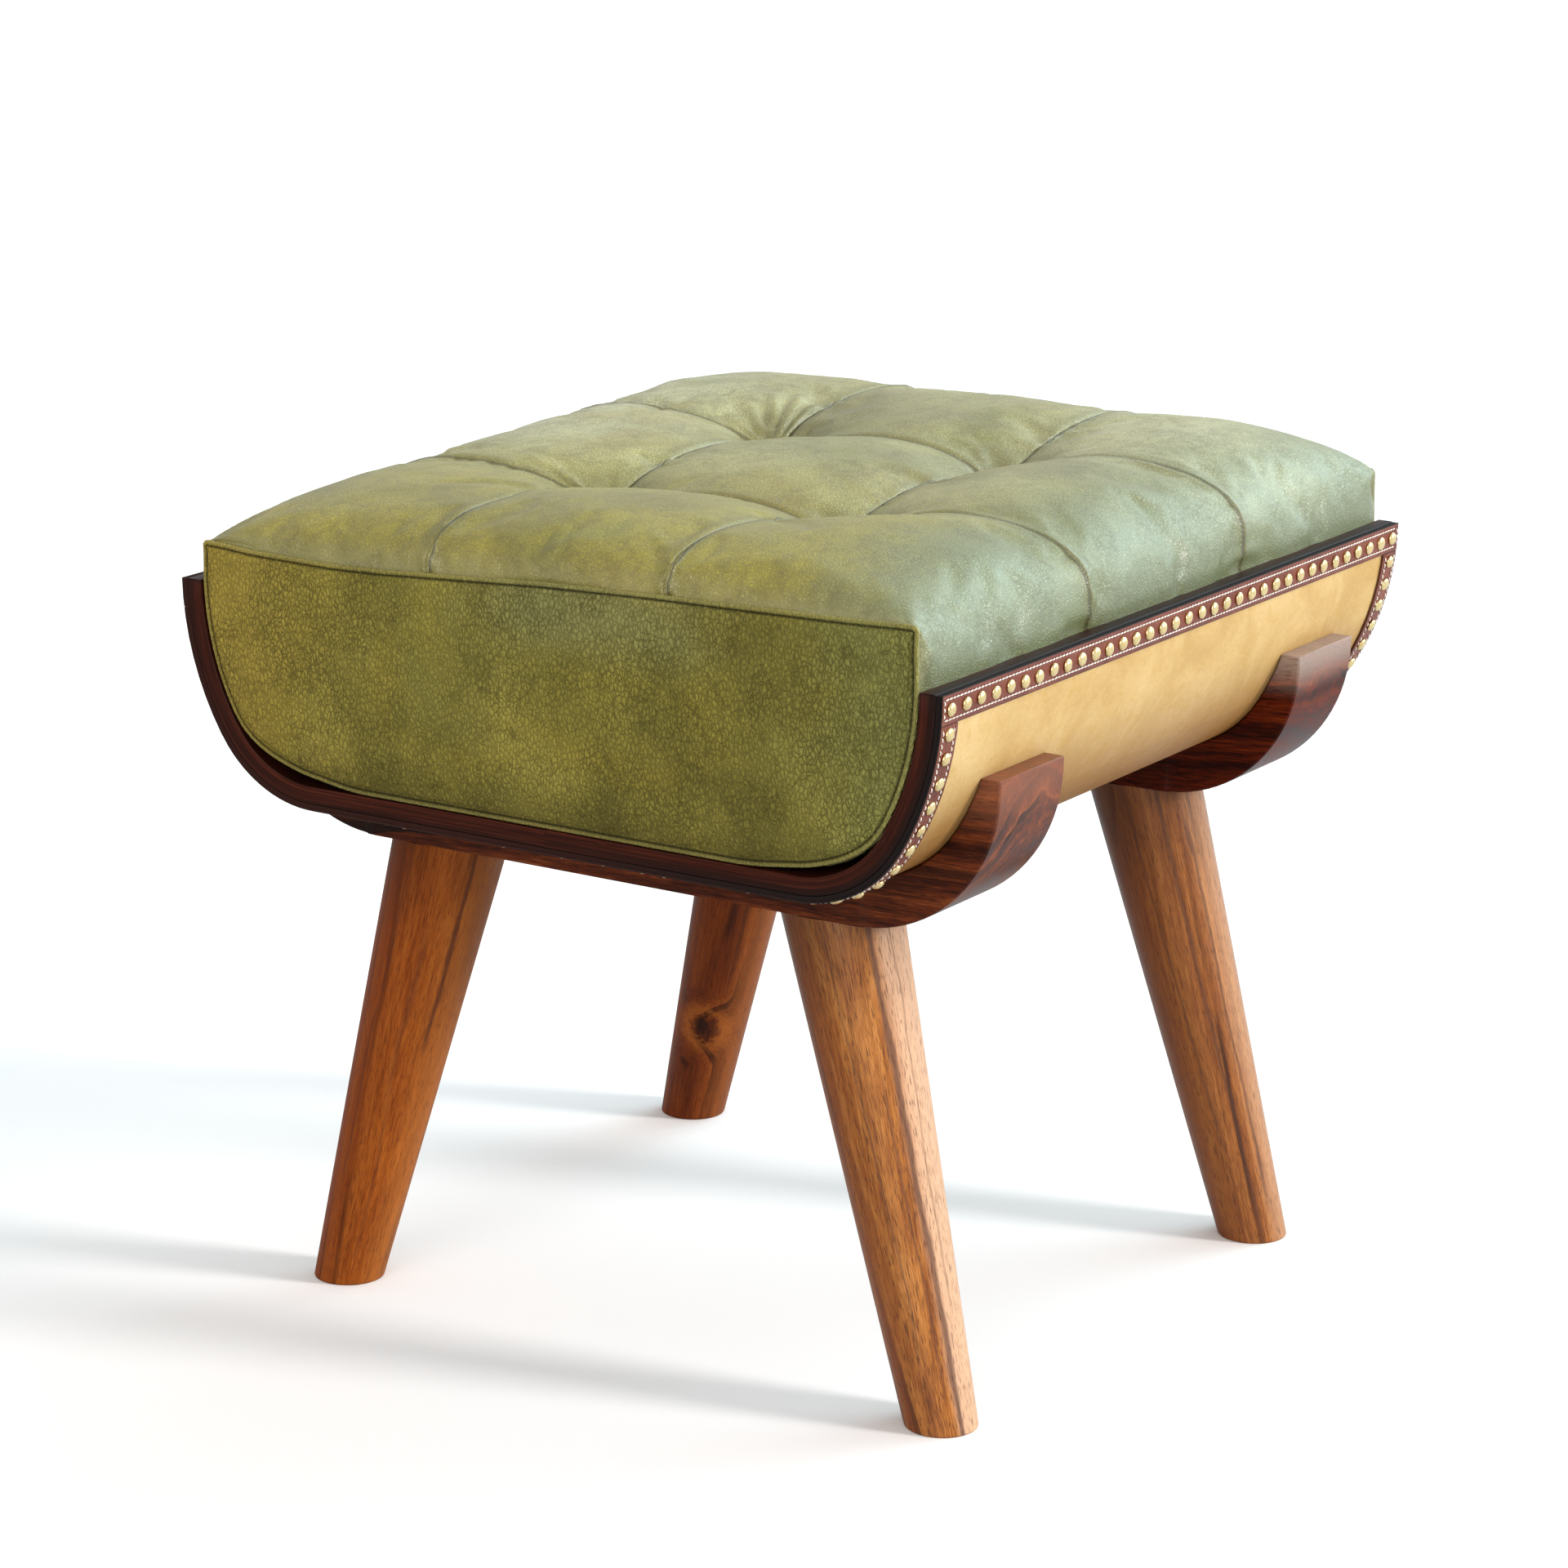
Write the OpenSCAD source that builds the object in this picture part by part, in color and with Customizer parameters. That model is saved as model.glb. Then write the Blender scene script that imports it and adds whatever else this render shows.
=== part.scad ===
// Upholstered cradle stool: a bent wooden shell holds a tufted leather cushion
// and stands on two curved cross rails and four splayed, tapered legs.
// Millimetres. The origin is on the floor under the middle of the seat,
// +X runs along the rails, +Y to the back and +Z up.

/* [Cradle shell] */
// Outside width of the wooden shell at its rim
cradle_w = 452; // [424:1:492]
// Depth of the shell from its front end to its back end
cradle_d = 466; // [440:1:520]
// Height of the rim above the flat underside of the shell
cradle_h = 108.5; // [98:0.5:123]
// Thickness of the bent laminated shell
shell_t = 9; // [8:0.5:12]
// Outside radius of the shell's upper sides
side_r = 146; // [126:1:176]
// Outside radius of the shell's lower corners
corner_r = 66; // [52:1:76]
// Radius on the two long edges of the rim
rim_round = 1; // [0.5:0.5:3]

/* [Leather covering of the shell] */
// Thickness of the leather sheet on the outside of the shell
sheet_t = 2.2; // [1.5:0.1:3]
// Width of the trim strips along the shell's edges
trim_w = 15; // [12:0.5:20]
// Thickness of the trim strips
trim_t = 1; // [0.8:0.1:2]
// How far the leather and its trim strips stop short of the shell's edges
trim_inset = 0.3; // [0.1:0.1:3]

/* [Dome nails] */
// Diameter of a nail's head
nail_head_d = 7; // [5:0.5:9]
// Height of a nail's head
nail_head_h = 2.2; // [1.5:0.1:3]
// Width of a nail's square shank, corner to corner
nail_shank_w = 1.8; // [1.2:0.1:2.4]
// Length of a nail's shank under its head
nail_len = 10.5; // [8:0.5:12]
// Number of nails along each rim, with the ones at its ends
rim_nails = 35; // [20:1:40]
// Number of nails along each curved end, between the rims
end_nails = 46; // [20:1:48]

/* [Cross rails] */
// Width of a rail from front to back
rail_w = 60; // [50:1:66]
// Thickness of a rail at its middle, under the shell
rail_t = 26; // [22:0.5:31]
// How far a rail's tips stand out past the side of the wooden rim
tip_out = 4; // [-1:0.5:5]
// Outside radius of a rail's upturned ends
rail_r = 81.5; // [70:0.5:84]
// Distance from the rim down to the top of a rail's tips
tip_drop = 52.5; // [42:0.5:60]
// Distance from the shell's end to the near side of a rail
rail_inset = 52; // [40:1:70]

/* [Legs] */
// Height of the rails' underside above the floor
leg_h = 257; // [220:1:300]
// Diameter of a leg at the floor
foot_d = 36.8; // [28:0.2:44]
// Diameter of a leg at the rail
leg_top_d = 60.6; // [50:0.2:64]
// Distance from the side of the wooden rim in to the middle of a leg's top
leg_set = 105; // [97:1:115]
// How far a foot stands out to the side from its leg's top
splay_x = 68; // [55:1:85]
// How far a foot stands out to the front or the back from its leg's top
splay_y = 12; // [0:1:24]

/* [Cushion] */
// Height of the sewn top edge at the cushion's two ends, above the rim
end_rise = 24.5; // [15:0.5:35]
// Height of the crown above the rim, before the tufts draw it down
crown_rise = 63; // [54:1:74]
// How far the sewn top edge turns down at the corners of the cushion's ends
end_turn = 8; // [3:0.5:14]
// Height above the rim at which the cushion is widest
bulge_rise = 6; // [3:0.5:12]
// How far the cushion's sides swell past the shell's inner face
bulge_out = 1.5; // [0:0.1:4]
// Gap between the cushion and the shell
seat_gap = 1; // [0.5:0.1:3]
// Distance from the shell's end to the edge of the cushion's cover
seat_inset = 3; // [2:0.5:12]
// Thickness of the cushion's leather
leather_t = 1.5; // [1:0.1:2.5]
// Distance from the middle to the seams that run front to back
seam_x = 72; // [60:1:84]
// Distance from the middle to the seams that run left to right
seam_y = 78; // [60:1:90]
// Depth to which a tuft draws the crown down
tuft_depth = 32; // [12:1:38]
// Reach of a tuft along its seams
tuft_reach = 52; // [30:1:60]
// Depth of the channel along a seam
channel_depth = 1.5; // [0.5:0.1:4]
// Half the width of the channel along a seam
channel_reach = 9; // [5:0.5:14]
// Diameter of the welt round the cushion's ends
welt_d = 3.2; // [2:0.1:5]
// How far the end panels bulge
panel_bulge = 2; // [1:0.5:4]

/* [Seat board and ties] */
// Thickness of the board under the foam
board_t = 9; // [7:0.5:12]
// Width of the board
board_w = 284; // [270:1:290]
// Diameter of the twine that holds a tuft down
tie_d = 1.6; // [1:0.1:3]
// Diameter of the washer that a tie is knotted to
washer_d = 22; // [16:1:30]
// Thickness of that washer
washer_t = 1.4; // [1:0.1:2]

/* [Screws and bolts] */
// Shank diameter of the wood screws
screw_d = 4.5; // [3.5:0.1:5]
// Head diameter of the wood screws
screw_head_d = 9.5; // [8:0.1:11]
// Height of the wood screws' heads
screw_head_h = 2.8; // [2:0.1:3.4]
// Length of the screws that hold the shell to a rail
rail_screw_len = 28; // [22:1:31]
// Distance between the screws along a rail
rail_screw_pitch = 80; // [50:1:95]
// Length of the screws that hold the seat board, under their heads
seat_screw_len = 18; // [16:0.5:19]
// Distance between the seat screws from left to right
seat_screw_x = 190; // [100:1:230]
// Distance between the seat screws from front to back
seat_screw_y = 60; // [40:1:110]
// Diameter of the bolt that joins a leg to its rail
bolt_d = 8; // [6:0.5:10]
// Length of that bolt inside the leg
bolt_in_leg = 42; // [30:1:60]
// Length of that bolt inside the rail
bolt_in_rail = 15; // [12:0.5:16]
// Outside diameter of the threaded insert in the rail
insert_d = 13; // [12:0.5:15]
// Length of the threaded insert
insert_len = 14; // [10:0.5:14.5]

/* [Fits] */
// Clearance between pieces that lie against each other
lie = 0.3; // [0.2:0.05:0.4]
// Clearance round a shank in its hole, on each side
hole_fit = 0.2; // [0.1:0.05:0.4]

/* [Hidden] */

// Heights, from the floor up
sheet_under_z = leg_h + rail_t + lie;
shell_z = sheet_under_z + sheet_t + lie;
rim_z = shell_z + cradle_h;
floor_z = shell_z + shell_t;
board_z = floor_z + lie;
board_top_z = board_z + board_t;

// The shell's outline: upper side arc, corner arc and flat bottom, tangent to each other
side_cx = cradle_w / 2 - side_r;
corner_dz = cradle_h - corner_r;
side_a = asin(corner_dz / (side_r - corner_r));
corner_cx = side_cx + (side_r - corner_r) * cos(side_a);
corner_cz = shell_z + corner_r;
side_len = side_r * side_a * PI / 180;
corner_len = corner_r * (90 - side_a) * PI / 180;
outline_len = 2 * (side_len + corner_len + corner_cx);

// Steps of the arcs
side_steps = 8;
corner_steps = 14;
rim_steps = 4;

// Offsets from the shell's outline to the faces of the layers on it
sheet_o = lie;
sheet_face_o = sheet_o + sheet_t;
rail_o = sheet_face_o + lie;
trim_o = sheet_face_o + lie;
trim_face_o = trim_o + trim_t;
nail_o = trim_face_o + hole_fit;

// Places of the rails, trims and nails
rail_y = cradle_d / 2 - rail_inset - rail_w / 2;
tip_z = rim_z - tip_drop;
tip_x = cradle_w / 2 + tip_out;
trim_top_z = rim_z - trim_inset;
trim_low_z = trim_top_z - trim_w;
trim_end_y = cradle_d / 2 - trim_inset;
nail_row_drop = trim_inset + trim_w / 2;
nail_row_y = trim_end_y - trim_w / 2;
nail_row_s = side_r * asin(nail_row_drop / side_r) * PI / 180;

// A leg's axis, from the middle of its foot to the middle of its top
leg_x = cradle_w / 2 - leg_set;
leg_len = norm([splay_x, splay_y, leg_h]);
leg_tilt = acos(leg_h / leg_len);
leg_taper = (leg_top_d - foot_d) / leg_len;
leg_spare = 20;
insert_set = 2;
bore_spare = 1;

// The cushion: half sizes, heights and exponents of its crown
seat_hd = cradle_d / 2 - seat_inset;
seat_hw_end = cradle_w / 2 - shell_t - seat_gap;
seat_hw = cradle_w / 2 - shell_t + bulge_out;
side_z = rim_z + bulge_rise;
end_z = rim_z + end_rise;
crown_z = rim_z + crown_rise;
crown_p_x = 3.2;
crown_p_y = 2.9;
end_p = 14;
tuft_star = 1;
seam_steps = 3;
side_edge_steps = 6;
end_edge_steps = 7;
welt_r = welt_d / 2;
welt_y = seat_hd + lie + welt_r;
welt_sides = 6;
panel_y = seat_hd + lie;
panel_inset = welt_d + lie;
panel_rings = [1, 0.82, 0.55, 0.25];
panel_mid_z = (floor_z + end_z) / 2;

// Smoothness of round holes and pins
round_fn = 32;
nail_fn = 14;
small = 0.01;

// A point of the shell's outline at arc length s from the right rim, moved out by o,
// with the angle of its outward normal as the third number
function outline_at(s, o) =
    s <= side_len ? arc_at(side_cx, rim_z, side_r + o, -s / side_len * side_a)
    : s <= side_len + corner_len
        ? arc_at(corner_cx, corner_cz, corner_r + o,
            -side_a - (s - side_len) / corner_len * (90 - side_a))
    : s <= outline_len / 2 ? [corner_cx - (s - side_len - corner_len), shell_z - o, -90]
    : let (m = outline_at(outline_len - s, o)) [-m[0], m[1], -180 - m[2]];

function arc_at(cx, cz, r, a) = [cx + r * cos(a), cz + r * sin(a), a];

function arc_points(cx, cz, r, a0, a1, steps) =
    [for (i = [0 : steps]) let (a = a0 + (a1 - a0) * i / steps) [cx + r * cos(a), cz + r * sin(a)]];

function reversed(list) = [for (i = [len(list) - 1 : -1 : 0]) list[i]];

function mirrored(list) = [for (p = reversed(list)) [-p[0], p[1]]];

// Right half of the outline, from drop below the rim down to the flat bottom
function half_outline(o, drop) = concat(
    arc_points(side_cx, rim_z, side_r + o, -asin(drop / (side_r + o)), -side_a, side_steps),
    arc_points(corner_cx, corner_cz, corner_r + o, -side_a - 90 / corner_steps, -90, corner_steps));

function full_outline(o, drop) = let (h = half_outline(o, drop)) concat(h, mirrored(h));

// Rounded top of the shell's wall, from its outside to its inside
function rim_cap() =
    let (x0 = cradle_w / 2 - rim_round, x1 = cradle_w / 2 - shell_t + rim_round, z = rim_z - rim_round)
    concat(arc_points(x1, z, rim_round, 180, 90, rim_steps),
        arc_points(x0, z, rim_round, 90, 0, rim_steps));

// An area of the XZ plane, drawn with its second number as Z, pushed from y0 to y1
module along_y(y0, y1) {
    translate([0, y1, 0])
        rotate([90, 0, 0])
            linear_extrude(y1 - y0)
                children();
}

// The layer of the shell's covering between two offsets, up to the height top_z
module layer_area(o_in, o_out, top_z) {
    difference() {
        polygon(concat(full_outline(o_out, 0), reversed(full_outline(o_in, 0))));
        translate([-cradle_w, top_z])
            square([2 * cradle_w, cradle_h]);
    }
}

// Puts a piece drawn along +Z on the outline, pointing outward
module on_outline(s, o, y) {
    p = outline_at(s, o);
    translate([p[0], y, p[1]])
        rotate([0, 90 - p[2], 0])
            children();
}

module at_rim_nails(side) {
    for (i = [0 : rim_nails - 1])
        on_outline(side > 0 ? nail_row_s : outline_len - nail_row_s, nail_o,
            -nail_row_y + i * 2 * nail_row_y / (rim_nails - 1))
            children();
}

module at_end_nails(y) {
    for (i = [1 : end_nails])
        on_outline(nail_row_s + i * (outline_len - 2 * nail_row_s) / (end_nails + 1), nail_o, y)
            children();
}

module at_all_nails() {
    at_rim_nails(-1) children();
    at_rim_nails(1) children();
    at_end_nails(-nail_row_y) children();
    at_end_nails(nail_row_y) children();
}

module nail() {
    cylinder(h = nail_head_h / 2, d1 = nail_head_d, d2 = nail_head_d * 0.86, $fn = nail_fn);
    translate([0, 0, nail_head_h / 2])
        cylinder(h = nail_head_h / 2, d1 = nail_head_d * 0.86, d2 = nail_head_d * 0.36, $fn = nail_fn);
    translate([0, 0, -nail_len])
        cylinder(h = nail_len + small, d = nail_shank_w, $fn = 4);
}

module nail_hole() {
    translate([0, 0, -nail_len - lie])
        cylinder(h = nail_len + 2 * lie, d = nail_shank_w + 2 * hole_fit, $fn = 4);
}

module at_rail_screws() {
    for (y = [-rail_y, rail_y], i = [-1 : 1])
        translate([i * rail_screw_pitch, y, floor_z - hole_fit])
            children();
}

module at_seat_screws() {
    for (x = [-1, 1], y = [-1, 1])
        translate([x * seat_screw_x / 2, y * seat_screw_y / 2, sheet_under_z - hole_fit])
            children();
}

module at_tufts() {
    for (x = [-1, 1], y = [-1, 1])
        translate([x * tuft_p[0], y * seam_y, 0])
            children();
}

// Countersunk wood screw, head up, its face at z = 0; grow widens it for its hole
module countersunk(len, grow) {
    translate([0, 0, -screw_head_h - grow])
        cylinder(h = screw_head_h + grow, d1 = screw_d + 2 * grow, d2 = screw_head_d + 2 * grow,
            $fn = round_fn);
    translate([0, 0, -len - grow])
        cylinder(h = len - screw_head_h + small, d = screw_d + 2 * grow, $fn = round_fn);
}

module cradle_shell() {
    color("#4a1d12")
        difference() {
            along_y(-cradle_d / 2, cradle_d / 2)
                polygon(concat(full_outline(0, rim_round), rim_cap_left(),
                    reversed(full_outline(-shell_t, rim_round)), rim_cap()));
            at_all_nails() nail_hole();
            at_rail_screws() {
                countersunk(rail_screw_len, hole_fit);
                cylinder(h = lie, d = screw_head_d + 2 * hole_fit, $fn = round_fn);
            }
            at_seat_screws()
                cylinder(h = shell_t + 2 * sheet_t, d = screw_d + 2 * hole_fit, $fn = round_fn);
        }
}

function rim_cap_left() = mirrored(rim_cap());

module outer_leather() {
    color("#c99a4c")
        difference() {
            along_y(-trim_end_y, trim_end_y)
                layer_area(sheet_o, sheet_face_o, trim_top_z);
            at_all_nails() nail_hole();
            at_rail_screws() countersunk(rail_screw_len, hole_fit);
            at_seat_screws()
                cylinder(h = shell_t, d = screw_d + 2 * hole_fit, $fn = round_fn);
        }
}

module trim_rim(side) {
    color("#6b2f1c")
        difference() {
            along_y(-trim_end_y, trim_end_y)
                intersection() {
                    layer_area(trim_o, trim_face_o, trim_top_z);
                    translate([side > 0 ? 0 : -cradle_w, trim_low_z])
                        square([cradle_w, trim_w]);
                }
            at_rim_nails(side) nail_hole();
        }
}

module trim_edge(side) {
    y_out = side * trim_end_y;
    y_in = side * (trim_end_y - trim_w);
    color("#6b2f1c")
        difference() {
            along_y(min(y_out, y_in), max(y_out, y_in))
                layer_area(trim_o, trim_face_o, trim_low_z - lie);
            at_end_nails(side * nail_row_y) nail_hole();
        }
}

module nails_rim(side) {
    color("#c9a765")
        at_rim_nails(side) nail();
}

module nails_edge(side) {
    color("#c9a765")
        at_end_nails(side * nail_row_y) nail();
}

// A cross rail: flat underside, arcs up to the level tips, and a saddle that takes the shell
module rail(side) {
    y0 = side * rail_y - rail_w / 2;
    color("#5a2a1e")
        difference() {
            along_y(y0, y0 + rail_w)
                difference() {
                    intersection() {
                        polygon(rail_outline());
                        translate([-tip_x, leg_h])
                            square([2 * tip_x, tip_z - leg_h]);
                    }
                    polygon(full_outline(rail_o, 0));
                }
            at_rail_screws() countersunk(rail_screw_len, hole_fit);
            for (x = [-1, 1])
                at_leg_top(x, side)
                    translate([0, 0, -leg_spare])
                        cylinder(h = leg_spare + insert_set + insert_len + lie,
                            d = insert_d + 2 * hole_fit, $fn = round_fn);
        }
}

function rail_outline() =
    let (half = concat([[tip_x, rim_z]],
        arc_points(tip_x - rail_r, leg_h + rail_r, rail_r, 0, -90, corner_steps + side_steps)))
    concat(half, mirrored(half));

// Puts a piece drawn along +Z at the middle of a leg's top, pointing up the leg's axis
module at_leg_top(x, y) {
    mirror([x < 0 ? 1 : 0, 0, 0])
        mirror([0, y < 0 ? 1 : 0, 0])
            translate([leg_x, rail_y, leg_h])
                rotate(a = leg_tilt, v = [splay_y, -splay_x, 0])
                    children();
}

module leg(x, y) {
    color("#a06a3a")
        difference() {
            intersection() {
                at_leg_top(x, y)
                    translate([0, 0, -leg_len - leg_spare])
                        cylinder(h = leg_len + 2 * leg_spare, d1 = foot_d - leg_taper * leg_spare,
                            d2 = leg_top_d + leg_taper * leg_spare, $fn = 96);
                translate([-cradle_w, -cradle_d, 0])
                    cube([2 * cradle_w, 2 * cradle_d, leg_h - lie]);
            }
            at_leg_top(x, y)
                translate([0, 0, -bolt_in_leg - bore_spare])
                    cylinder(h = bolt_in_leg + leg_spare, d = bolt_d + 2 * hole_fit, $fn = round_fn);
        }
}

module leg_bolts() {
    color("#8d9196")
        for (x = [-1, 1], y = [-1, 1])
            at_leg_top(x, y)
                translate([0, 0, -bolt_in_leg])
                    cylinder(h = bolt_in_leg + bolt_in_rail, d = bolt_d, $fn = round_fn);
}

module leg_inserts() {
    color("#b39a52")
        for (x = [-1, 1], y = [-1, 1])
            at_leg_top(x, y)
                translate([0, 0, insert_set])
                    difference() {
                        cylinder(h = insert_len, d = insert_d, $fn = round_fn);
                        translate([0, 0, -bore_spare])
                            cylinder(h = insert_len + 2 * bore_spare, d = bolt_d + 2 * hole_fit,
                                $fn = round_fn);
                    }
}

module rail_screws() {
    color("#8d9196")
        at_rail_screws() countersunk(rail_screw_len, 0);
}

module seat_board() {
    board_hd = seat_hd - leather_t;
    color("#c8a877")
        difference() {
            translate([-board_w / 2, -board_hd, board_z])
                cube([board_w, 2 * board_hd, board_t]);
            at_tufts() {
                translate([0, 0, board_z - small])
                    cylinder(h = board_t + 2 * small, d = tie_d + 2 * hole_fit, $fn = 16);
                translate([0, 0, board_z - small])
                    cylinder(h = 2 * lie + washer_t + small, d = washer_d + 2 * lie, $fn = round_fn);
            }
            at_seat_screws()
                cylinder(h = seat_screw_len + lie, d = screw_d + 2 * hole_fit, $fn = round_fn);
        }
}

module seat_screws() {
    color("#8d9196")
        at_seat_screws() {
            translate([0, 0, -screw_head_h])
                cylinder(h = screw_head_h, d = screw_head_d, $fn = round_fn);
            translate([0, 0, -small])
                cylinder(h = seat_screw_len + small, d = screw_d, $fn = round_fn);
        }
}

// Rise of a crowned section, 1 in the middle and 0 at t = 1
function swell(t, p) = pow(max(0, 1 - pow(abs(t), p)), 1 / p);

function mix(a, b, k) = a + (b - a) * k;

// How far one tuft draws the crown down at dx, dy from it, further along its seams
function one_tuft_draw(dx, dy) =
    tuft_depth * exp(-pow(pow(abs(dx), tuft_star) + pow(abs(dy), tuft_star), 1 / tuft_star) / tuft_reach);

function tuft_draw(x, y) =
    one_tuft_draw(x - seam_x, y - seam_y) + one_tuft_draw(x + seam_x, y - seam_y)
    + one_tuft_draw(x - seam_x, y + seam_y) + one_tuft_draw(x + seam_x, y + seam_y);

// How far the channels of the four seams sink at a place
function channel_draw(x, y) =
    channel_depth * (exp(-abs(abs(x) - seam_x) / channel_reach)
        + exp(-abs(abs(y) - seam_y) / channel_reach));

// A point of the cushion's top, at t across (0 in the middle, 1 at the side) and at y,
// moved in by inset
function seat_point(t, y, inset) =
    let (g = swell(y / seat_hd, crown_p_y),
        rise = swell(t, crown_p_x),
        x = t * (mix(seat_hw_end, seat_hw, g) - inset),
        z_end = end_z - inset - end_turn * (1 - swell(t, end_p)),
        z_mid = mix(side_z, crown_z - inset, rise))
    [x, mix(z_end, z_mid, g) - g * rise * (tuft_draw(x, y) + channel_draw(x, y))];

// Steps from the middle to the edge: even up to a seam, then closer and closer
function steps_out(seam, edge_steps) = concat([for (i = [1 : seam_steps]) seam * i / seam_steps],
    [for (i = [1 : edge_steps]) seam + (1 - seam) * sin(90 * i / edge_steps)]);

across = steps_out(seam_x / seat_hw, side_edge_steps);
along = [for (k = steps_out(seam_y / seat_hd, end_edge_steps)) k * seat_hd];
rows = concat([for (y = reversed(along)) -y], [0], along);

// Angle down the shell's corner at which the leather's hem ends, level with the board
hem_a = asin((corner_cz - board_top_z - lie) / (corner_r - shell_t - seat_gap - leather_t - lie));

// The cushion's side inside the shell, from its hem up to the rim
function side_points(inset) =
    let (o = shell_t + seat_gap + inset)
    concat(arc_points(corner_cx, corner_cz, corner_r - o, -hem_a, -side_a, 2),
        arc_points(side_cx, rim_z, side_r - o, -side_a / 2, 0, 1));

// One section of the cushion at y, from its right hem over the top to its left hem
function seat_section(y, inset) =
    let (right = concat(side_points(inset), [for (t = reversed(across)) seat_point(t, y, inset)]),
        top = seat_point(0, y, inset))
    concat(right, [top], mirrored(right));

function in_space(section, y) = [for (p = section) [p[0], y, p[1]]];

function joined(lists) = [for (list = lists) for (item = list) item];

// Two triangles over each cell of a grid of points; from row r0 and column c0
function grid_faces(rows_n, cols_n, start, flip) =
    joined([for (r = [0 : rows_n - 2], c = [0 : cols_n - 2])
        let (a = start + r * cols_n + c, b = a + 1, d = a + cols_n, e = d + 1)
        flip ? [[a, b, e], [a, e, d]] : [[a, e, b], [a, d, e]]]);

// The leather over the cushion's top and sides, open at its ends and underneath
module seat_leather() {
    n = len(rows);
    m = 2 * (len(side_points(0)) + len(across)) + 1;
    outer = joined([for (y = rows) in_space(seat_section(y, 0), y)]);
    inner = joined([for (y = rows) in_space(seat_section(y, leather_t), y)]);
    hems = joined([for (r = [0 : n - 2], c = [0, m - 1])
        let (a = r * m + c, b = a + m, k = n * m)
        c == 0 ? [[a, b + k, b], [a, a + k, b + k]] : [[a, b, b + k], [a, b + k, a + k]]]);
    ends = joined([for (c = [0 : m - 2], r = [0, n - 1])
        let (a = r * m + c, b = a + 1, k = n * m)
        r == 0 ? [[a, b, b + k], [a, b + k, a + k]] : [[a, b + k, b], [a, a + k, b + k]]]);
    color("#7d7a45")
        polyhedron(concat(outer, inner),
            concat(grid_faces(n, m, 0, false), grid_faces(n, m, n * m, true), hems, ends));
}

// The foam inside the leather, resting on the board
module foam_core() {
    n = len(rows);
    m = 2 * (len(side_points(0)) + len(across)) + 1;
    inset = leather_t + lie;
    points = joined([for (y = rows) in_space(seat_section(y, inset), y)]);
    under = joined([for (r = [0 : n - 2])
        let (a = r * m, b = a + m - 1, d = a + m, e = b + m)
        [[a, e, d], [a, b, e]]]);
    caps = joined([for (c = [1 : m - 2]) [[0, c, c + 1], [(n - 1) * m, (n - 1) * m + c + 1, (n - 1) * m + c]]]);
    color("#e6dcb4")
        difference() {
            polyhedron(points, concat(grid_faces(n, m, 0, false), under, caps));
            at_tufts()
                translate([0, 0, board_z])
                    cylinder(h = crown_z - board_z, d = tie_d + 2 * hole_fit, $fn = 16);
        }
}

// Outline of the cushion's end, moved in by inset: curved bottom, sides and sewn top edge
function end_loop(inset) =
    let (o = -shell_t - seat_gap - inset,
        half = concat(
            arc_points(corner_cx, corner_cz, corner_r + o, -90, -side_a, corner_steps / 2),
            arc_points(side_cx, rim_z, side_r + o, -side_a * 2 / 3, 0, 2),
            [for (t = reversed(across)) seat_point(t, seat_hd, inset)]))
    concat(half, [seat_point(0, seat_hd, inset)], mirrored(half));

function panel_ring(loop, k, y) = [for (p = loop) [p[0] * k, y, mix(panel_mid_z, p[1], k)]];

// Triangles between closed rings of m points, the first ring at index start
function ring_faces(rings_n, m, start, flip) =
    joined([for (r = [0 : rings_n - 2], c = [0 : m - 1])
        let (a = start + r * m + c, b = start + r * m + (c + 1) % m, d = a + m, e = b + m)
        flip ? [[a, e, b], [a, d, e]] : [[a, b, e], [a, e, d]]]);

// A leather end panel, sewn inside its welt and bulging outward; drawn for the front
module end_panel() {
    loop = end_loop(panel_inset);
    m = len(loop);
    n = len(panel_rings);
    outer = joined([for (k = panel_rings)
        panel_ring(loop, k, -panel_y - leather_t - panel_bulge * (1 - k * k))]);
    inner = joined([for (k = panel_rings)
        panel_ring(loop, k, -panel_y - panel_bulge * (1 - k * k))]);
    mid_o = [0, -panel_y - leather_t - panel_bulge, panel_mid_z];
    mid_i = [0, -panel_y - panel_bulge, panel_mid_z];
    last = (n - 1) * m;
    fan_o = [for (c = [0 : m - 1]) [last + c, last + (c + 1) % m, 2 * n * m]];
    fan_i = [for (c = [0 : m - 1]) [n * m + last + (c + 1) % m, n * m + last + c, 2 * n * m + 1]];
    edge = joined([for (c = [0 : m - 1])
        let (d = (c + 1) % m) [[c, n * m + d, d], [c, n * m + c, n * m + d]]]);
    color("#747343")
        polyhedron(concat(outer, inner, [mid_o, mid_i]),
            concat(ring_faces(n, m, 0, false), ring_faces(n, m, n * m, true), fan_o, fan_i, edge));
}

// The raised welt sewn round a cushion end; drawn for the front
module end_welt() {
    loop = end_loop(welt_r);
    m = len(loop);
    points = joined([for (i = [0 : m - 1])
        let (d = loop[(i + 1) % m] - loop[(i + m - 1) % m], q = [d[1], -d[0]] / norm(d))
        [for (j = [0 : welt_sides - 1])
            let (a = 360 * j / welt_sides, u = welt_r * cos(a))
            [loop[i][0] + u * q[0], -welt_y + welt_r * sin(a), loop[i][1] + u * q[1]]]]);
    faces = joined([for (i = [0 : m - 1], j = [0 : welt_sides - 1])
        let (a = i * welt_sides + j, b = i * welt_sides + (j + 1) % welt_sides,
            d = ((i + 1) % m) * welt_sides + j, e = ((i + 1) % m) * welt_sides + (j + 1) % welt_sides)
        [[a, b, e], [a, e, d]]]);
    color("#6a6a3c")
        polyhedron(points, faces);
}

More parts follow.
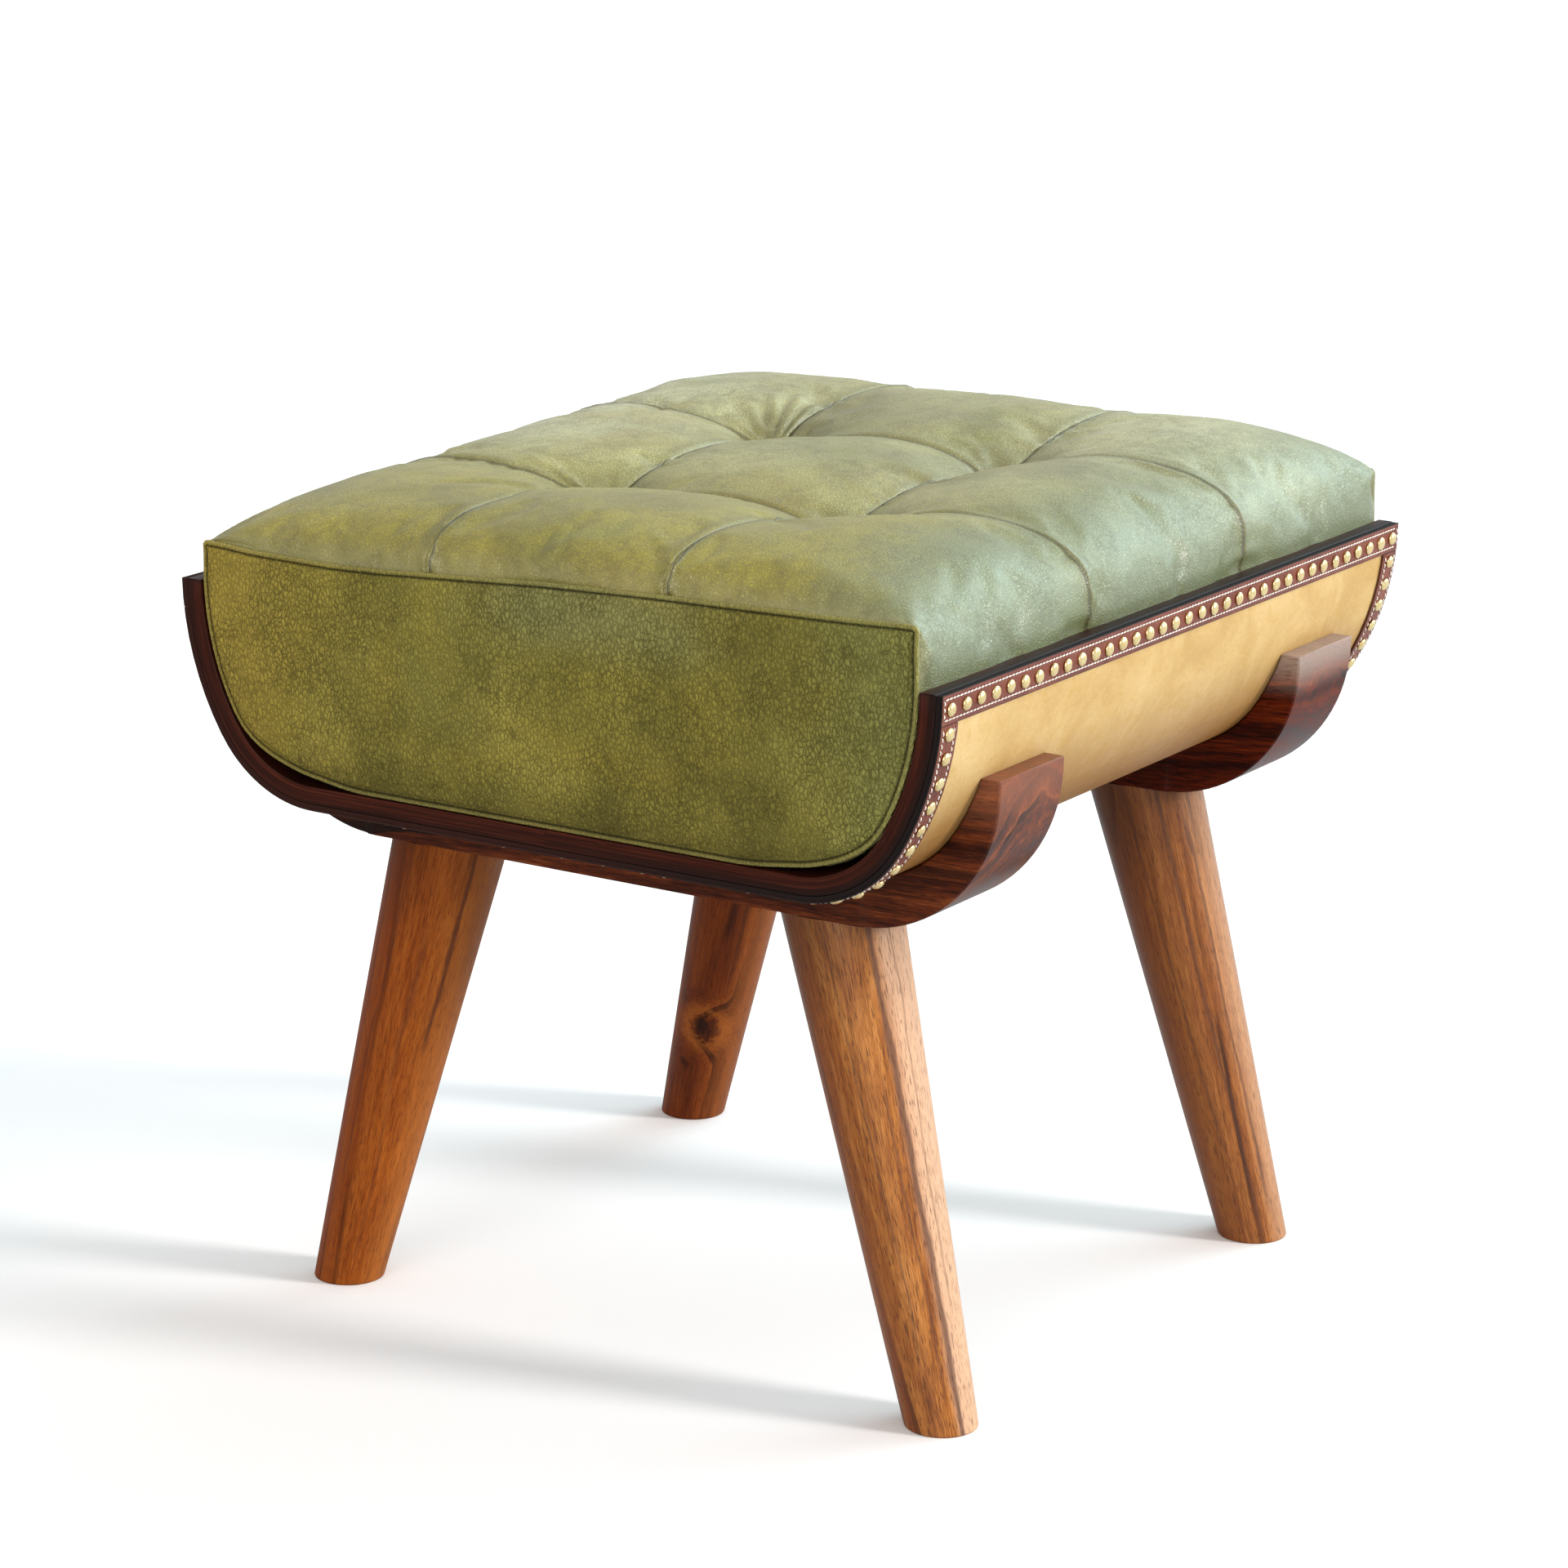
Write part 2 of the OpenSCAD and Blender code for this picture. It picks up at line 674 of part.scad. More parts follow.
// The tuft at the crossing of two seams, on the underside of the leather
tuft_p = seat_point(seam_x / seat_hw, seam_y, leather_t + lie);

module tuft_ties() {
    color("#d8cfae")
        at_tufts()
            translate([0, 0, board_z + lie])
                cylinder(h = tuft_p[1] - board_z - lie, d = tie_d, $fn = 16);
}

module tuft_washers() {
    color("#8d9196")
        at_tufts()
            translate([0, 0, board_z + lie])
                difference() {
                    cylinder(h = washer_t, d = washer_d, $fn = round_fn);
                    translate([0, 0, -bore_spare])
                        cylinder(h = washer_t + 2 * bore_spare, d = tie_d + 2 * hole_fit, $fn = 16);
                }
}

cradle_shell();
outer_leather();
trim_rim(-1);  // trim_rim_left
trim_rim(1);  // trim_rim_right
trim_edge(-1);  // trim_front_edge
trim_edge(1);  // trim_back_edge
nails_rim(-1);  // nails_rim_left
nails_rim(1);  // nails_rim_right
nails_edge(-1);  // nails_front_edge
nails_edge(1);  // nails_back_edge
rail(-1);  // front_rail
rail(1);  // back_rail
leg(-1, -1);  // leg_front_left
leg(1, -1);  // leg_front_right
leg(-1, 1);  // leg_back_left
leg(1, 1);  // leg_back_right
leg_bolts();
leg_inserts();
rail_screws();
seat_board();
seat_screws();
foam_core();
seat_leather();
end_panel();  // front_panel_leather
mirror([0, 1, 0]) end_panel();  // back_panel_leather
end_welt();  // front_welt
mirror([0, 1, 0]) end_welt();  // back_welt
tuft_ties();
tuft_washers();
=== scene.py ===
import math

import bpy
import numpy as np
from mathutils import Matrix, Vector


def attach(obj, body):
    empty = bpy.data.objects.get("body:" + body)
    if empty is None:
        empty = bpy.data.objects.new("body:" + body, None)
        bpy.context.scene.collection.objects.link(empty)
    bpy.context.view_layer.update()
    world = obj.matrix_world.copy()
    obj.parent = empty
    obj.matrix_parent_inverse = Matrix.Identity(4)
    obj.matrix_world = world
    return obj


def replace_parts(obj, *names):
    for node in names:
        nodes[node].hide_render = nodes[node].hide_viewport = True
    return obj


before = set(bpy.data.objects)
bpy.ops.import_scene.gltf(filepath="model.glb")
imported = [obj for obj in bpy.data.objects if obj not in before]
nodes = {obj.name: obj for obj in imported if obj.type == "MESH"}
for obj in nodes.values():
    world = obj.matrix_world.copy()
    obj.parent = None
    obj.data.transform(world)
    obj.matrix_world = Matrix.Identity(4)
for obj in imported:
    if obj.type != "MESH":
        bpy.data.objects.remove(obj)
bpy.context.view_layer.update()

# Sizes of the stool in millimetres, the same as the solids have
RIM_Z, CRADLE_H, SHELL_T, PLY_T, CRADLE_HD = 394.3, 108.5, 9.0, 1.5, 233.0
SIDE_CX, SIDE_R, CORNER_R = 80.0, 146.0, 66.0
SHELL_Z = RIM_Z - CRADLE_H
SIDE_A = math.asin((CRADLE_H - CORNER_R) / (SIDE_R - CORNER_R))
CORNER_CX = SIDE_CX + (SIDE_R - CORNER_R) * math.cos(SIDE_A)
CORNER_CZ = SHELL_Z + CORNER_R
BOARD_TOP, BOARD_HW, BOARD_HD = 304.1, 142.0, 228.5
TRIM_FACE, NAIL_O, NAIL_R = 3.8, 4.0, 3.5
TRIM_INSET, TRIM_W, RIM_NAILS, END_NAILS = 0.3, 15.0, 35, 46
NAIL_ROW_S = SIDE_R * math.asin((TRIM_INSET + TRIM_W / 2) / SIDE_R)
NAIL_ROW_Y = CRADLE_HD - TRIM_INSET - TRIM_W / 2
LEG_X, LEG_Y, LEG_H, SPLAY_X, SPLAY_Y = 121.0, 151.0, 257.0, 68.0, 12.0
SEAT_HD, SEAT_HW_END, SEAT_HW, SIDE_Z, END_Z, END_TURN = 230.0, 216.0, 218.5, 400.3, 418.8, 8.0
SEAM_X, SEAM_Y, SEAM_PAIRS = 72.0, 78.0, (("right", "left"), ("front", "back"))
SIDE_LEN = SIDE_R * SIDE_A
CORNER_LEN = CORNER_R * (math.pi / 2 - SIDE_A)
OUTLINE_LEN = 2 * (SIDE_LEN + CORNER_LEN + CORNER_CX)
rng = np.random.default_rng(7)


# Node helpers
class Tree:
    """A node tree whose nodes are made by short calls."""

    def __init__(self, tree):
        self.tree = tree
        self.tree.nodes.clear()

    def node(self, kind, inputs=(), **props):
        """A new node with its properties set, and then its inputs, by name or number."""
        n = self.tree.nodes.new(kind)
        for k, v in props.items():
            setattr(n, k, v)
        for k, v in dict(inputs).items():
            self.put(n.inputs[k], v)
        return n

    def link(self, a, b):
        self.tree.links.new(a, b)

    def put(self, socket, value):
        if isinstance(value, bpy.types.NodeSocket):
            self.link(value, socket)
        else:
            if socket.type == "RGBA" and len(value) == 3:
                value = (*value, 1.0)
            socket.default_value = value

    def math(self, op, *values, clamp=False):
        return self.node("ShaderNodeMath", enumerate(values), operation=op, use_clamp=clamp).outputs[0]

    def add(self, a, b):
        return self.math("ADD", a, b)

    def sub(self, a, b):
        return self.math("SUBTRACT", a, b)

    def mul(self, a, b):
        return self.math("MULTIPLY", a, b)

    def mul_add(self, a, b, c):
        return self.math("MULTIPLY_ADD", a, b, c)

    def abs(self, a):
        return self.math("ABSOLUTE", a)

    def most(self, a, b):
        return self.math("MAXIMUM", a, b)

    def least(self, a, b):
        return self.math("MINIMUM", a, b)

    def stirred(self, a, noise, amount):
        """A value pushed up and down by a noise, over amount in all."""
        return self.mul_add(self.sub(noise, 0.5), amount, a)

    def vec(self, op, a, b=None, scale=None):
        inputs = {0: a}
        if b is not None:
            inputs[1] = b
        if scale is not None:
            inputs["Scale"] = scale
        n = self.node("ShaderNodeVectorMath", inputs, operation=op)
        return n.outputs["Value" if op in ("LENGTH", "DOT_PRODUCT") else "Vector"]

    def split(self, v):
        return self.node("ShaderNodeSeparateXYZ", {0: v}).outputs

    def join(self, x, y, z):
        return self.node("ShaderNodeCombineXYZ", enumerate((x, y, z))).outputs[0]

    def hypot(self, a, b):
        return self.vec("LENGTH", self.join(a, b, 0.0))

    def turned(self, v, rotation, shift=(0, 0, 0), scale=(1, 1, 1)):
        inputs = {"Vector": v, "Location": shift, "Rotation": rotation, "Scale": scale}
        return self.node("ShaderNodeMapping", inputs).outputs[0]

    def noise(self, v, size, detail=3.0, rough=0.55, warp=0.0, stretch=(1, 1, 1), shift=0.0):
        """Noise whose blobs are about size millimetres, longer by stretch along each axis."""
        v = self.turned(v, (0, 0, 0), (shift, shift * 0.7, shift * 0.3), tuple(1.0 / s for s in stretch))
        inputs = {"Vector": v, "Scale": 1.0 / size, "Detail": detail, "Roughness": rough, "Distortion": warp}
        return self.node("ShaderNodeTexNoise", inputs).outputs["Fac"]

    def cells(self, v, size, feature="F1", out="Distance"):
        inputs = {"Vector": v, "Scale": 1.0 / size}
        return self.node("ShaderNodeTexVoronoi", inputs, feature=feature).outputs[out]

    def ramp(self, fac, stops, colors):
        """Colours over a factor, each at its stop."""
        n = self.node("ShaderNodeValToRGB", {0: fac})
        el = n.color_ramp.elements
        while len(el) < len(stops):
            el.new(0.5)
        for e, at, c in zip(el, stops, colors):
            e.position, e.color = at, (*c, 1.0)
        return n.outputs["Color"]

    def step(self, value, lo, hi, a=0.0, b=1.0):
        """From a to b, smoothly, as value goes from lo to hi."""
        inputs = enumerate((value, lo, hi, a, b))
        return self.node("ShaderNodeMapRange", inputs, interpolation_type="SMOOTHSTEP").outputs[0]

    def mix(self, fac, a, b):
        return self.node("ShaderNodeMix", {0: fac, 6: a, 7: b}, data_type="RGBA").outputs[2]

    def tints(self, color, *layers):
        """A colour under tints, each (value, where the tint starts, where it is full, amount, tint)."""
        for value, start, full, amount, tint in layers:
            color = self.mix(self.step(value, start, full, 0.0, amount), color, tint)
        return color


class Mat(Tree):
    """A material with one main shader; coordinates are in millimetres."""

    INPUTS = {"color": "Base Color", "rough": "Roughness", "metal": "Metallic", "spec": "Specular IOR Level",
              "normal": "Normal", "coat": "Coat Weight", "coat_rough": "Coat Roughness",
              "sheen": "Sheen Weight"}

    def __init__(self, name):
        self.mat = bpy.data.materials.new(name)
        self.mat.use_nodes = True
        super().__init__(self.mat.node_tree)
        self.bsdf = self.node("ShaderNodeBsdfPrincipled")
        self.out = self.node("ShaderNodeOutputMaterial", {"Surface": self.bsdf.outputs[0]})
        self.p = self.vec("SCALE", self.node("ShaderNodeTexCoord").outputs["Object"], scale=1000.0)
        self.x, self.y, self.z = self.split(self.p)

    def bump(self, height, distance, strength=1.0):
        inputs = {"Height": height, "Distance": distance * 0.001, "Strength": strength}
        return self.node("ShaderNodeBump", inputs).outputs[0]

    def attr(self, name):
        return self.node("ShaderNodeAttribute", attribute_name=name).outputs["Fac"]

    def crumpled(self, size, amount, shift=0.0):
        """The place pushed about by noise, so that a pattern on it isn't regular."""
        v = self.turned(self.p, (0, 0, 0), (shift, shift, shift))
        inputs = {"Vector": v, "Scale": 1.0 / size, "Detail": 2.0}
        off = self.vec("SUBTRACT", self.node("ShaderNodeTexNoise", inputs).outputs["Color"], (0.5, 0.5, 0.5))
        return self.vec("ADD", self.p, self.vec("SCALE", off, scale=amount))

    def set(self, **values):
        for k, v in values.items():
            self.put(self.bsdf.inputs[self.INPUTS[k]], v)
        return self.mat


def shade(color, *by):
    """A colour times one number, or times one for each of its three parts."""
    return tuple(c * k for c, k in zip(color, by * 3 if len(by) == 1 else by))


# Wood
def outline_depth(m):
    """Depth under the shell's outline and distance along it, for a point in the XZ plane."""
    ax = m.abs(m.x)
    sx, sz = m.sub(ax, SIDE_CX), m.sub(RIM_Z, m.z)
    cx, cz = m.sub(ax, CORNER_CX), m.sub(CORNER_CZ, m.z)
    corner_turn = m.math("ARCTAN2", cz, cx)
    depths = m.sub(SIDE_R, m.hypot(sx, sz)), m.sub(CORNER_R, m.hypot(cx, cz)), m.sub(m.z, SHELL_Z)
    alongs = (m.mul(m.math("ARCTAN2", sz, sx), SIDE_R),
              m.mul_add(m.sub(corner_turn, SIDE_A), CORNER_R, SIDE_LEN),
              m.sub(SIDE_LEN + CORNER_LEN + CORNER_CX, ax))
    in_side = m.math("LESS_THAN", corner_turn, SIDE_A)
    in_floor = m.math("LESS_THAN", ax, CORNER_CX)

    def pick(side, corner, floor):
        low = m.mul_add(in_floor, m.sub(floor, corner), corner)
        return m.mul_add(m.mul(in_side, m.sub(1.0, in_floor)), m.sub(side, low), low)

    return pick(*depths), pick(*alongs)


def shell_wood():
    m = Mat("shell_wood_laminated")
    depth, along = outline_depth(m)
    v = m.join(m.mul(along, m.math("SIGN", m.x)), m.y, depth)
    streak = m.noise(v, 1.0, 4, 0.65, 0.3, stretch=(60, 50, 0.5))
    long = m.noise(v, 1.0, 3, 0.6, 0.2, stretch=(170, 140, 2.4), shift=31)
    fleck = m.noise(v, 1.0, 2, 0.5, 0.0, stretch=(16, 12, 0.22), shift=77)
    plies = m.math("FRACT", m.math("DIVIDE", depth, PLY_T))
    glue = m.step(m.abs(m.sub(plies, 0.5)), 0.44, 0.5)
    base = m.ramp(streak, (0.30, 0.46, 0.60, 0.78), (
        (0.018, 0.0032, 0.0018), (0.046, 0.0082, 0.0036), (0.082, 0.0155, 0.0062), (0.125, 0.030, 0.011)))
    base = m.mix(m.step(long, 0.35, 0.62, 0.5, 0.0), base, (0.012, 0.0032, 0.0024))
    base = m.tints(base, (fleck, 0.69, 0.78, 0.55, (0.26, 0.085, 0.033)))
    base = m.mix(m.mul(glue, 0.3), base, (0.008, 0.003, 0.002))
    # The faces and the rim's top are darker than the ends, more so on the right
    dim = m.mul(m.step(m.stirred(depth, long, 3.0), 6.4, 0.2), m.step(m.x, -60.0, 190.0, 0.35, 0.88))
    base = m.mix(dim, base, (0.0095, 0.0050, 0.0042))
    base = m.tints(base, (m.z, RIM_Z - 3, RIM_Z, 0.45, (0.010, 0.006, 0.004)))
    normal = m.bump(m.add(m.mul(fleck, -0.5), streak), 0.10, 0.45)
    return m.set(color=base, rough=m.step(streak, 0.3, 0.8, 0.36, 0.52), spec=0.12, normal=normal)


def sided(m, color, place, wave, look):
    """A leg's colour with what lies on one side of it: tints over angles, which are painted shade on its left
    and painted light and sheen on its right, and long dark streaks.

    Angles are in degrees round the leg's axis, from the side that faces the open front and the right, and
    grow to the right. A tint is (angle where it starts, angle where it is full, amount, colour). A streak is
    (angle at the foot, angle at the top, half width in mm, from and to along the leg, amount)."""
    x, y, z = place
    angle = m.sub(m.mul(m.math("ARCTAN2", z, y), 180 / math.pi), look["facing"])
    angle = m.stirred(m.math("WRAP", angle, 180.0, -180.0), wave, 26.0)
    # The tints are painted shade on the leg's left and painted light and sheen on its right
    color = m.tints(color, *((angle, *tint) for tint in look["tints"]))
    radius = m.hypot(y, z)
    for foot, top, half, low, high, amount in look["streaks"]:
        at = m.mul_add(x, (top - foot) / LEG_H, foot)
        off = m.abs(m.mul(m.mul(m.sub(angle, at), math.pi / 180), radius))
        strength = m.step(off, half, half * 0.2, 0.0, amount)
        fade = m.mul(m.step(x, low - 12, low + 12), m.step(x, high + 12, high - 12))
        color = m.mix(m.mul(strength, fade), color, look["streak_color"])
    return color


def grain_wood(name, axis_rotation, shift, heart, look, knot=None):
    """Solid wood whose grain runs along the turned X axis.

    Its growth rings run round a heart line beside the piece, and a knot is (place, size)."""
    m = Mat(name)
    v = m.turned(m.vec("ADD", m.p, shift), axis_rotation)
    warp, colors = look["warp"], look["colors"]
    if knot is not None:
        at, size = knot
        away = m.vec("LENGTH", m.vec("SUBTRACT", m.p, at))
        pull = m.step(away, size * 2.6, size * 0.3)
        v = m.vec("ADD", v, m.join(0.0, m.mul(pull, size * 0.8), m.mul(pull, size * 0.5)))
    x, y, z = m.split(v)
    slow = m.noise(v, 1.0, 2, 0.5, 0.0, stretch=(420, 60, 60))
    wave = m.noise(v, 1.0, 3, 0.55, 0.0, stretch=(120, 22, 22), shift=13)
    r = m.hypot(m.sub(y, heart[0]), m.sub(z, heart[1]))
    r = m.stirred(m.stirred(r, slow, warp * 2.0), wave, warp * 0.5)

    def bands(size, detail):
        inputs = {"W": m.math("DIVIDE", r, size), "Scale": 1.0, "Detail": detail, "Roughness": 0.6}
        return m.node("ShaderNodeTexNoise", inputs, noise_dimensions="1D").outputs["Fac"]

    line = m.step(bands(look["ring"] * 0.55, 1.0), 0.62, 0.72)
    fibre = m.noise(v, 1.0, 4, 0.62, 0.0, stretch=(34, 0.75, 0.75), shift=5)
    streak = m.noise(v, 1.0, 3, 0.6, 0.0, stretch=(150, 4.5, 4.5), shift=29)
    pore = m.step(m.noise(v, 1.0, 1, 0.4, 0.0, stretch=(7.0, 0.5, 0.5), shift=91), 0.57, 0.66)
    tone = m.add(m.mul(bands(look["ring"], 3.0), 0.40), m.mul(fibre, 0.36))
    tone = m.mul_add(streak, 0.24, tone)
    color = m.ramp(tone, look["stops"], colors)
    mask = m.noise(v, 1.0, 2, 0.5, 0.0, stretch=(160, 20, 20), shift=55)
    lined = m.mul(line, m.step(mask, 0.42, 0.62, 0.0, look["line_amount"]))
    color = m.mix(lined, color, shade(colors[0], 0.3))
    if "facing" in look:
        color = sided(m, color, (x, y, z), wave, look)
        # Painted shade near the top of the leg, under the rail
        shade_under_rail = m.mul(m.step(x, 190.0, 262.0, 0.0, 0.5), m.step(slow, 0.35, 0.6))
        color = m.mix(shade_under_rail, color, shade(colors[0], 0.45))
    # A rail's upper part, seen at its tips, is paler: painted light and sheen
    if "tip" in look:
        color = m.tints(color, (m.z, *look["tip"]))
    color = m.mix(m.mul(pore, look["pore_amount"]), color, look["pore_color"])
    if knot is not None:
        ragged = m.mul_add(m.noise(m.p, 5.0, 3, 0.6, 1.0), size * 1.1, m.sub(away, size * 0.55))
        color = m.tints(color, (ragged, size * 1.0, size * 0.15, 0.88, (0.016, 0.005, 0.003)))
        glow = m.mul(m.step(ragged, size * 1.7, size * 1.0), m.step(ragged, size * 0.7, size * 1.0))
        color = m.mix(m.mul(glow, 0.4), color, (0.45, 0.13, 0.02))
    h = m.sub(m.mul(fibre, 0.5), pore)
    return m.set(color=color, rough=m.step(tone, 0.35, 0.65, *look["rough"]), spec=look["spec"],
                 normal=m.bump(h, 0.10, 0.55))


# Leather
def top_colors(m, color, patch, warm):
    """The seat's top is paler and greyer towards the back, and palest there on the left and on the right: a
    painted sheen.
    """
    away = m.stirred(m.y, warm, 90.0)
    sheen_tones = m.ramp(patch, PATCH_STOPS, ((0.275, 0.250, 0.095), (0.385, 0.362, 0.140), (0.480, 0.460, 0.195)))
    color = m.tints(color, (away, -150.0, 10.0, 0.9, sheen_tones))
    left = m.mul(m.step(m.x, -60.0, -170.0, 0.0, 0.75), m.step(away, -110.0, 0.0))
    right = m.mul(m.step(m.x, 40.0, 130.0, 0.0, 0.75), m.step(away, 20.0, 120.0))
    return m.mix(right, m.mix(left, color, (0.640, 0.620, 0.350)), (0.680, 0.660, 0.365))


def top_dye_and_shade(m, color, blot, wander):
    """The seat's top is blue-green on the right, darker low down as painted shade, and darker beside its seams
    and round its tufts.
    """
    color = m.tints(color, (wander, 110.0, 235.0, 0.85, (0.180, 0.225, 0.118)),
                    # Painted shade: darker low down, where the cover turns down its sides
                    (m.z, 430.0, 402.0, 0.62, (0.100, 0.128, 0.060)))
    across, along = m.abs(m.sub(m.abs(m.x), SEAM_X)), m.abs(m.sub(m.abs(m.y), SEAM_Y))
    spread = m.mul(m.sub(blot, 0.5), 22.0)
    beside = m.step(m.add(m.least(across, along), spread), 13.0, 0.0, 0.0, 0.38)
    near = m.step(m.add(m.hypot(across, along), spread), 46.0, 8.0, 0.0, 0.60)
    return m.mix(m.most(beside, near), color, (0.125, 0.118, 0.026))


def panel_dye_and_shade(m, color, blot, wander):
    """An end panel is golden on the left, greener on the right and at its top's middle, and dark below as
    painted shade.
    """
    color = m.tints(color, (wander, -90.0, -220.0, 0.7, (0.53, 0.360, 0.055)),
                    (wander, 120.0, 205.0, 0.6, (0.250, 0.285, 0.095)),
                    # Painted shade: dark below, deep in the shell
                    (m.mul_add(blot, 30.0, m.z), 340.0, 300.0, 0.85, (0.105, 0.080, 0.014)))
    middle = m.mul(m.step(m.abs(m.sub(wander, 20.0)), 120.0, 30.0), m.step(m.z, 375.0, 405.0, 0.0, 0.6))
    return m.mix(middle, color, (0.330, 0.345, 0.145))


PATCH_STOPS = (0.32, 0.5, 0.68)
# Looks of the green leather: its colours, amounts of cool clouds and blots, and sizes in mm of its pebbles,
# how much taller they are than wide, the creases' height, lean and detail, how dark the painted shade in
# creases and valleys is where there are few and where there are many, the grain's relief, roughness, gloss
# and clear coat
PANEL_LOOK = {"tones": ((0.215, 0.180, 0.031), (0.340, 0.284, 0.049), (0.455, 0.378, 0.072)), "cool": 0.25,
              "blot": 0.12, "pebble": 2.1, "tall": 0.58, "crease_tall": 0.5, "crease_lean": 0.2, "detail": 3,
              "creases": (0.3, 0.9), "crease_amount": 0.5, "valleys": (0.52, 0.76), "crease_depth": 0.3,
              "relief": (0.85, 1.0), "rough": (0.50, 0.66), "spec": 0.18, "coat": 0.0}
TOP_LOOK = {"tones": ((0.225, 0.184, 0.011), (0.335, 0.276, 0.017), (0.430, 0.362, 0.032)), "cool": 0.40,
            "blot": 0.35, "pebble": 1.9, "tall": 1.0, "crease_tall": 1.0, "crease_lean": 0.0, "detail": 5,
            "creases": (0.1, 0.55), "crease_amount": 0.6, "valleys": (0.42, 0.42), "crease_depth": 0.9,
            "relief": (0.24, 0.8), "rough": (0.30, 0.42), "spec": 0.95, "coat": 0.22}


def green_leather(name, look):
    """Olive leather of the seat: pebbled and creased on the end panels, smoother and paler on top."""
    m = Mat(name)
    tones = look["tones"]
    patch = m.noise(m.p, 75, 3, 0.5, 0.5)
    blot = m.noise(m.p, 15, 4, 0.65, 1.0, shift=40)
    warm = m.noise(m.p, 85, 3, 0.55, 0.6, shift=90)
    cool = m.noise(m.p, 80, 2, 0.5, 0.3, shift=150)
    color = m.ramp(patch, PATCH_STOPS, tones)
    if look is TOP_LOOK:
        color = top_colors(m, color, patch, warm)
    color = m.tints(color, (warm, 0.48, 0.68, 0.4, shade(tones[1], 1.15, 0.98, 0.7)),
                    (cool, 0.50, 0.70, look["cool"], shade(tones[1], 0.55, 0.72, 1.3)),
                    (blot, 0.40, 0.68, look["blot"], shade(tones[0], 0.5)))
    # The dye turns from yellow on the left to blue-green on the right, and painted shade darkens the lower
    # parts
    color = (top_dye_and_shade if look is TOP_LOOK else panel_dye_and_shade)(m, color, blot, m.stirred(m.x, warm, 160.0))
    # Pebbles with thin dark valleys, and a net of fine creases that comes and goes
    tall = m.turned(m.crumpled(6.0, 3.0), (0.0, 0.25, 0.0), scale=(1.0, 1.0, look["tall"]))
    grain = m.cells(tall, look["pebble"], "DISTANCE_TO_EDGE")
    fine = m.cells(m.crumpled(2.6, 1.2, 9.0), look["pebble"] * 0.5, "DISTANCE_TO_EDGE")
    valley = m.most(m.step(grain, 0.02, 0.20, 1.0, 0.0), m.step(fine, 0.02, 0.16, 0.45, 0.0))
    dome = m.mul_add(m.step(grain, 0.0, 0.42), 0.7, m.step(fine, 0.0, 0.4, 0.0, 0.3))
    where = m.noise(m.p, 34, 3, 0.6, 0.4, shift=71)
    lines = 0.0
    grown = m.turned(m.p, (0.0, look["crease_lean"], 0.0), scale=(1.0, 1.0, look["crease_tall"]))
    for wide, thin, shift in ((7.5, 0.030, 63.0), (13.0, 0.020, 17.0)):
        fold = m.abs(m.sub(m.noise(grown, wide, look["detail"], 0.66, 1.5, shift=shift), 0.5))
        lines = m.most(m.step(fold, 0.0, thin, 1.0, 0.0), lines)
    lines = m.mul(lines, m.step(where, 0.40, 0.60, *look["creases"]))
    # Painted shade in the valleys between pebbles and in the creases, and a painted highlight on the pebbles'
    # tops
    dark = shade(tones[0], 0.42)
    color = m.mix(m.mul(valley, m.step(where, 0.3, 0.7, *look["valleys"])), color, dark)
    color = m.tints(color, (dome, 0.3, 1.0, 0.10, shade(tones[2], 1.5)))
    color = m.mix(m.mul(lines, look["crease_amount"]), color, dark)
    # The seams' cords and the worn edges are lighter, and the seams' grooves are painted shadow
    for key, amount, tint in (("ridge", 0.55, (0.42, 0.37, 0.12)), ("wear", 0.45, (0.36, 0.31, 0.11)),
                              ("groove", 0.85, (0.020, 0.016, 0.004))):
        color = m.mix(m.mul(m.attr(key), amount), color, tint)
    normal = m.bump(m.sub(dome, m.mul(lines, look["crease_depth"])), *look["relief"])
    return m.set(color=color, rough=m.step(dome, 0.8, 0.2, *look["rough"]), spec=look["spec"], normal=normal,
                 coat=look["coat"], coat_rough=0.3)


def edge_paint(m, color, height, reach=0.3):
    """Colour and height with the dark paint of a leather layer's cut edges, at the rims and curved ends."""
    end = m.sub(CRADLE_HD - TRIM_INSET, m.abs(m.y))
    edge = m.least(end, m.sub(RIM_Z - TRIM_INSET, m.z))
    paint = m.step(edge, reach - 0.18, reach, 1.0, 0.0)
    side = m.mix(m.step(m.x, -60.0, 190.0), (0.030, 0.0075, 0.0045), (0.0095, 0.0055, 0.0048))
    return m.mix(paint, color, side), m.mul(height, m.sub(1.0, paint)), paint


def tan_leather():
    m = Mat("tan_sheet_leather")
    cloud = m.noise(m.p, 55, 4, 0.6, 0.6)
    blot = m.noise(m.p, 13, 4, 0.68, 1.2, shift=20)
    fibre = m.noise(m.p, 1.9, 4, 0.72, 0.9, shift=80)
    tones = (0.49, 0.300, 0.105), (0.57, 0.370, 0.148), (0.64, 0.435, 0.195)
    color = m.tints(m.ramp(cloud, (0.32, 0.5, 0.7), tones),
                    (blot, 0.45, 0.72, 0.45, (0.52, 0.305, 0.085)),
                    (fibre, 0.5, 0.72, 0.30, (0.42, 0.235, 0.065)),
                    (fibre, 0.46, 0.30, 0.25, (0.78, 0.58, 0.27)),
                    # Painted shade: darker and warmer towards the bottom, where the leather faces down
                    (m.z, 358.0, 296.0, 0.88, (0.230, 0.086, 0.012)))
    color = m.mix(m.step(m.cells(m.p, 34.0), 0.0, 0.028, 0.5, 0.0), color, (0.20, 0.09, 0.03))
    h = m.add(m.mul(m.cells(m.crumpled(2.0, 0.8), 0.8), 0.5), m.mul(fibre, 0.8))
    color, h, paint = edge_paint(m, color, h, 1.6)
    rough = m.most(m.step(blot, 0.3, 0.7, 0.50, 0.62), m.mul(paint, 0.85))
    return m.set(color=color, rough=rough, spec=0.2, normal=m.bump(h, 0.12, 0.5))


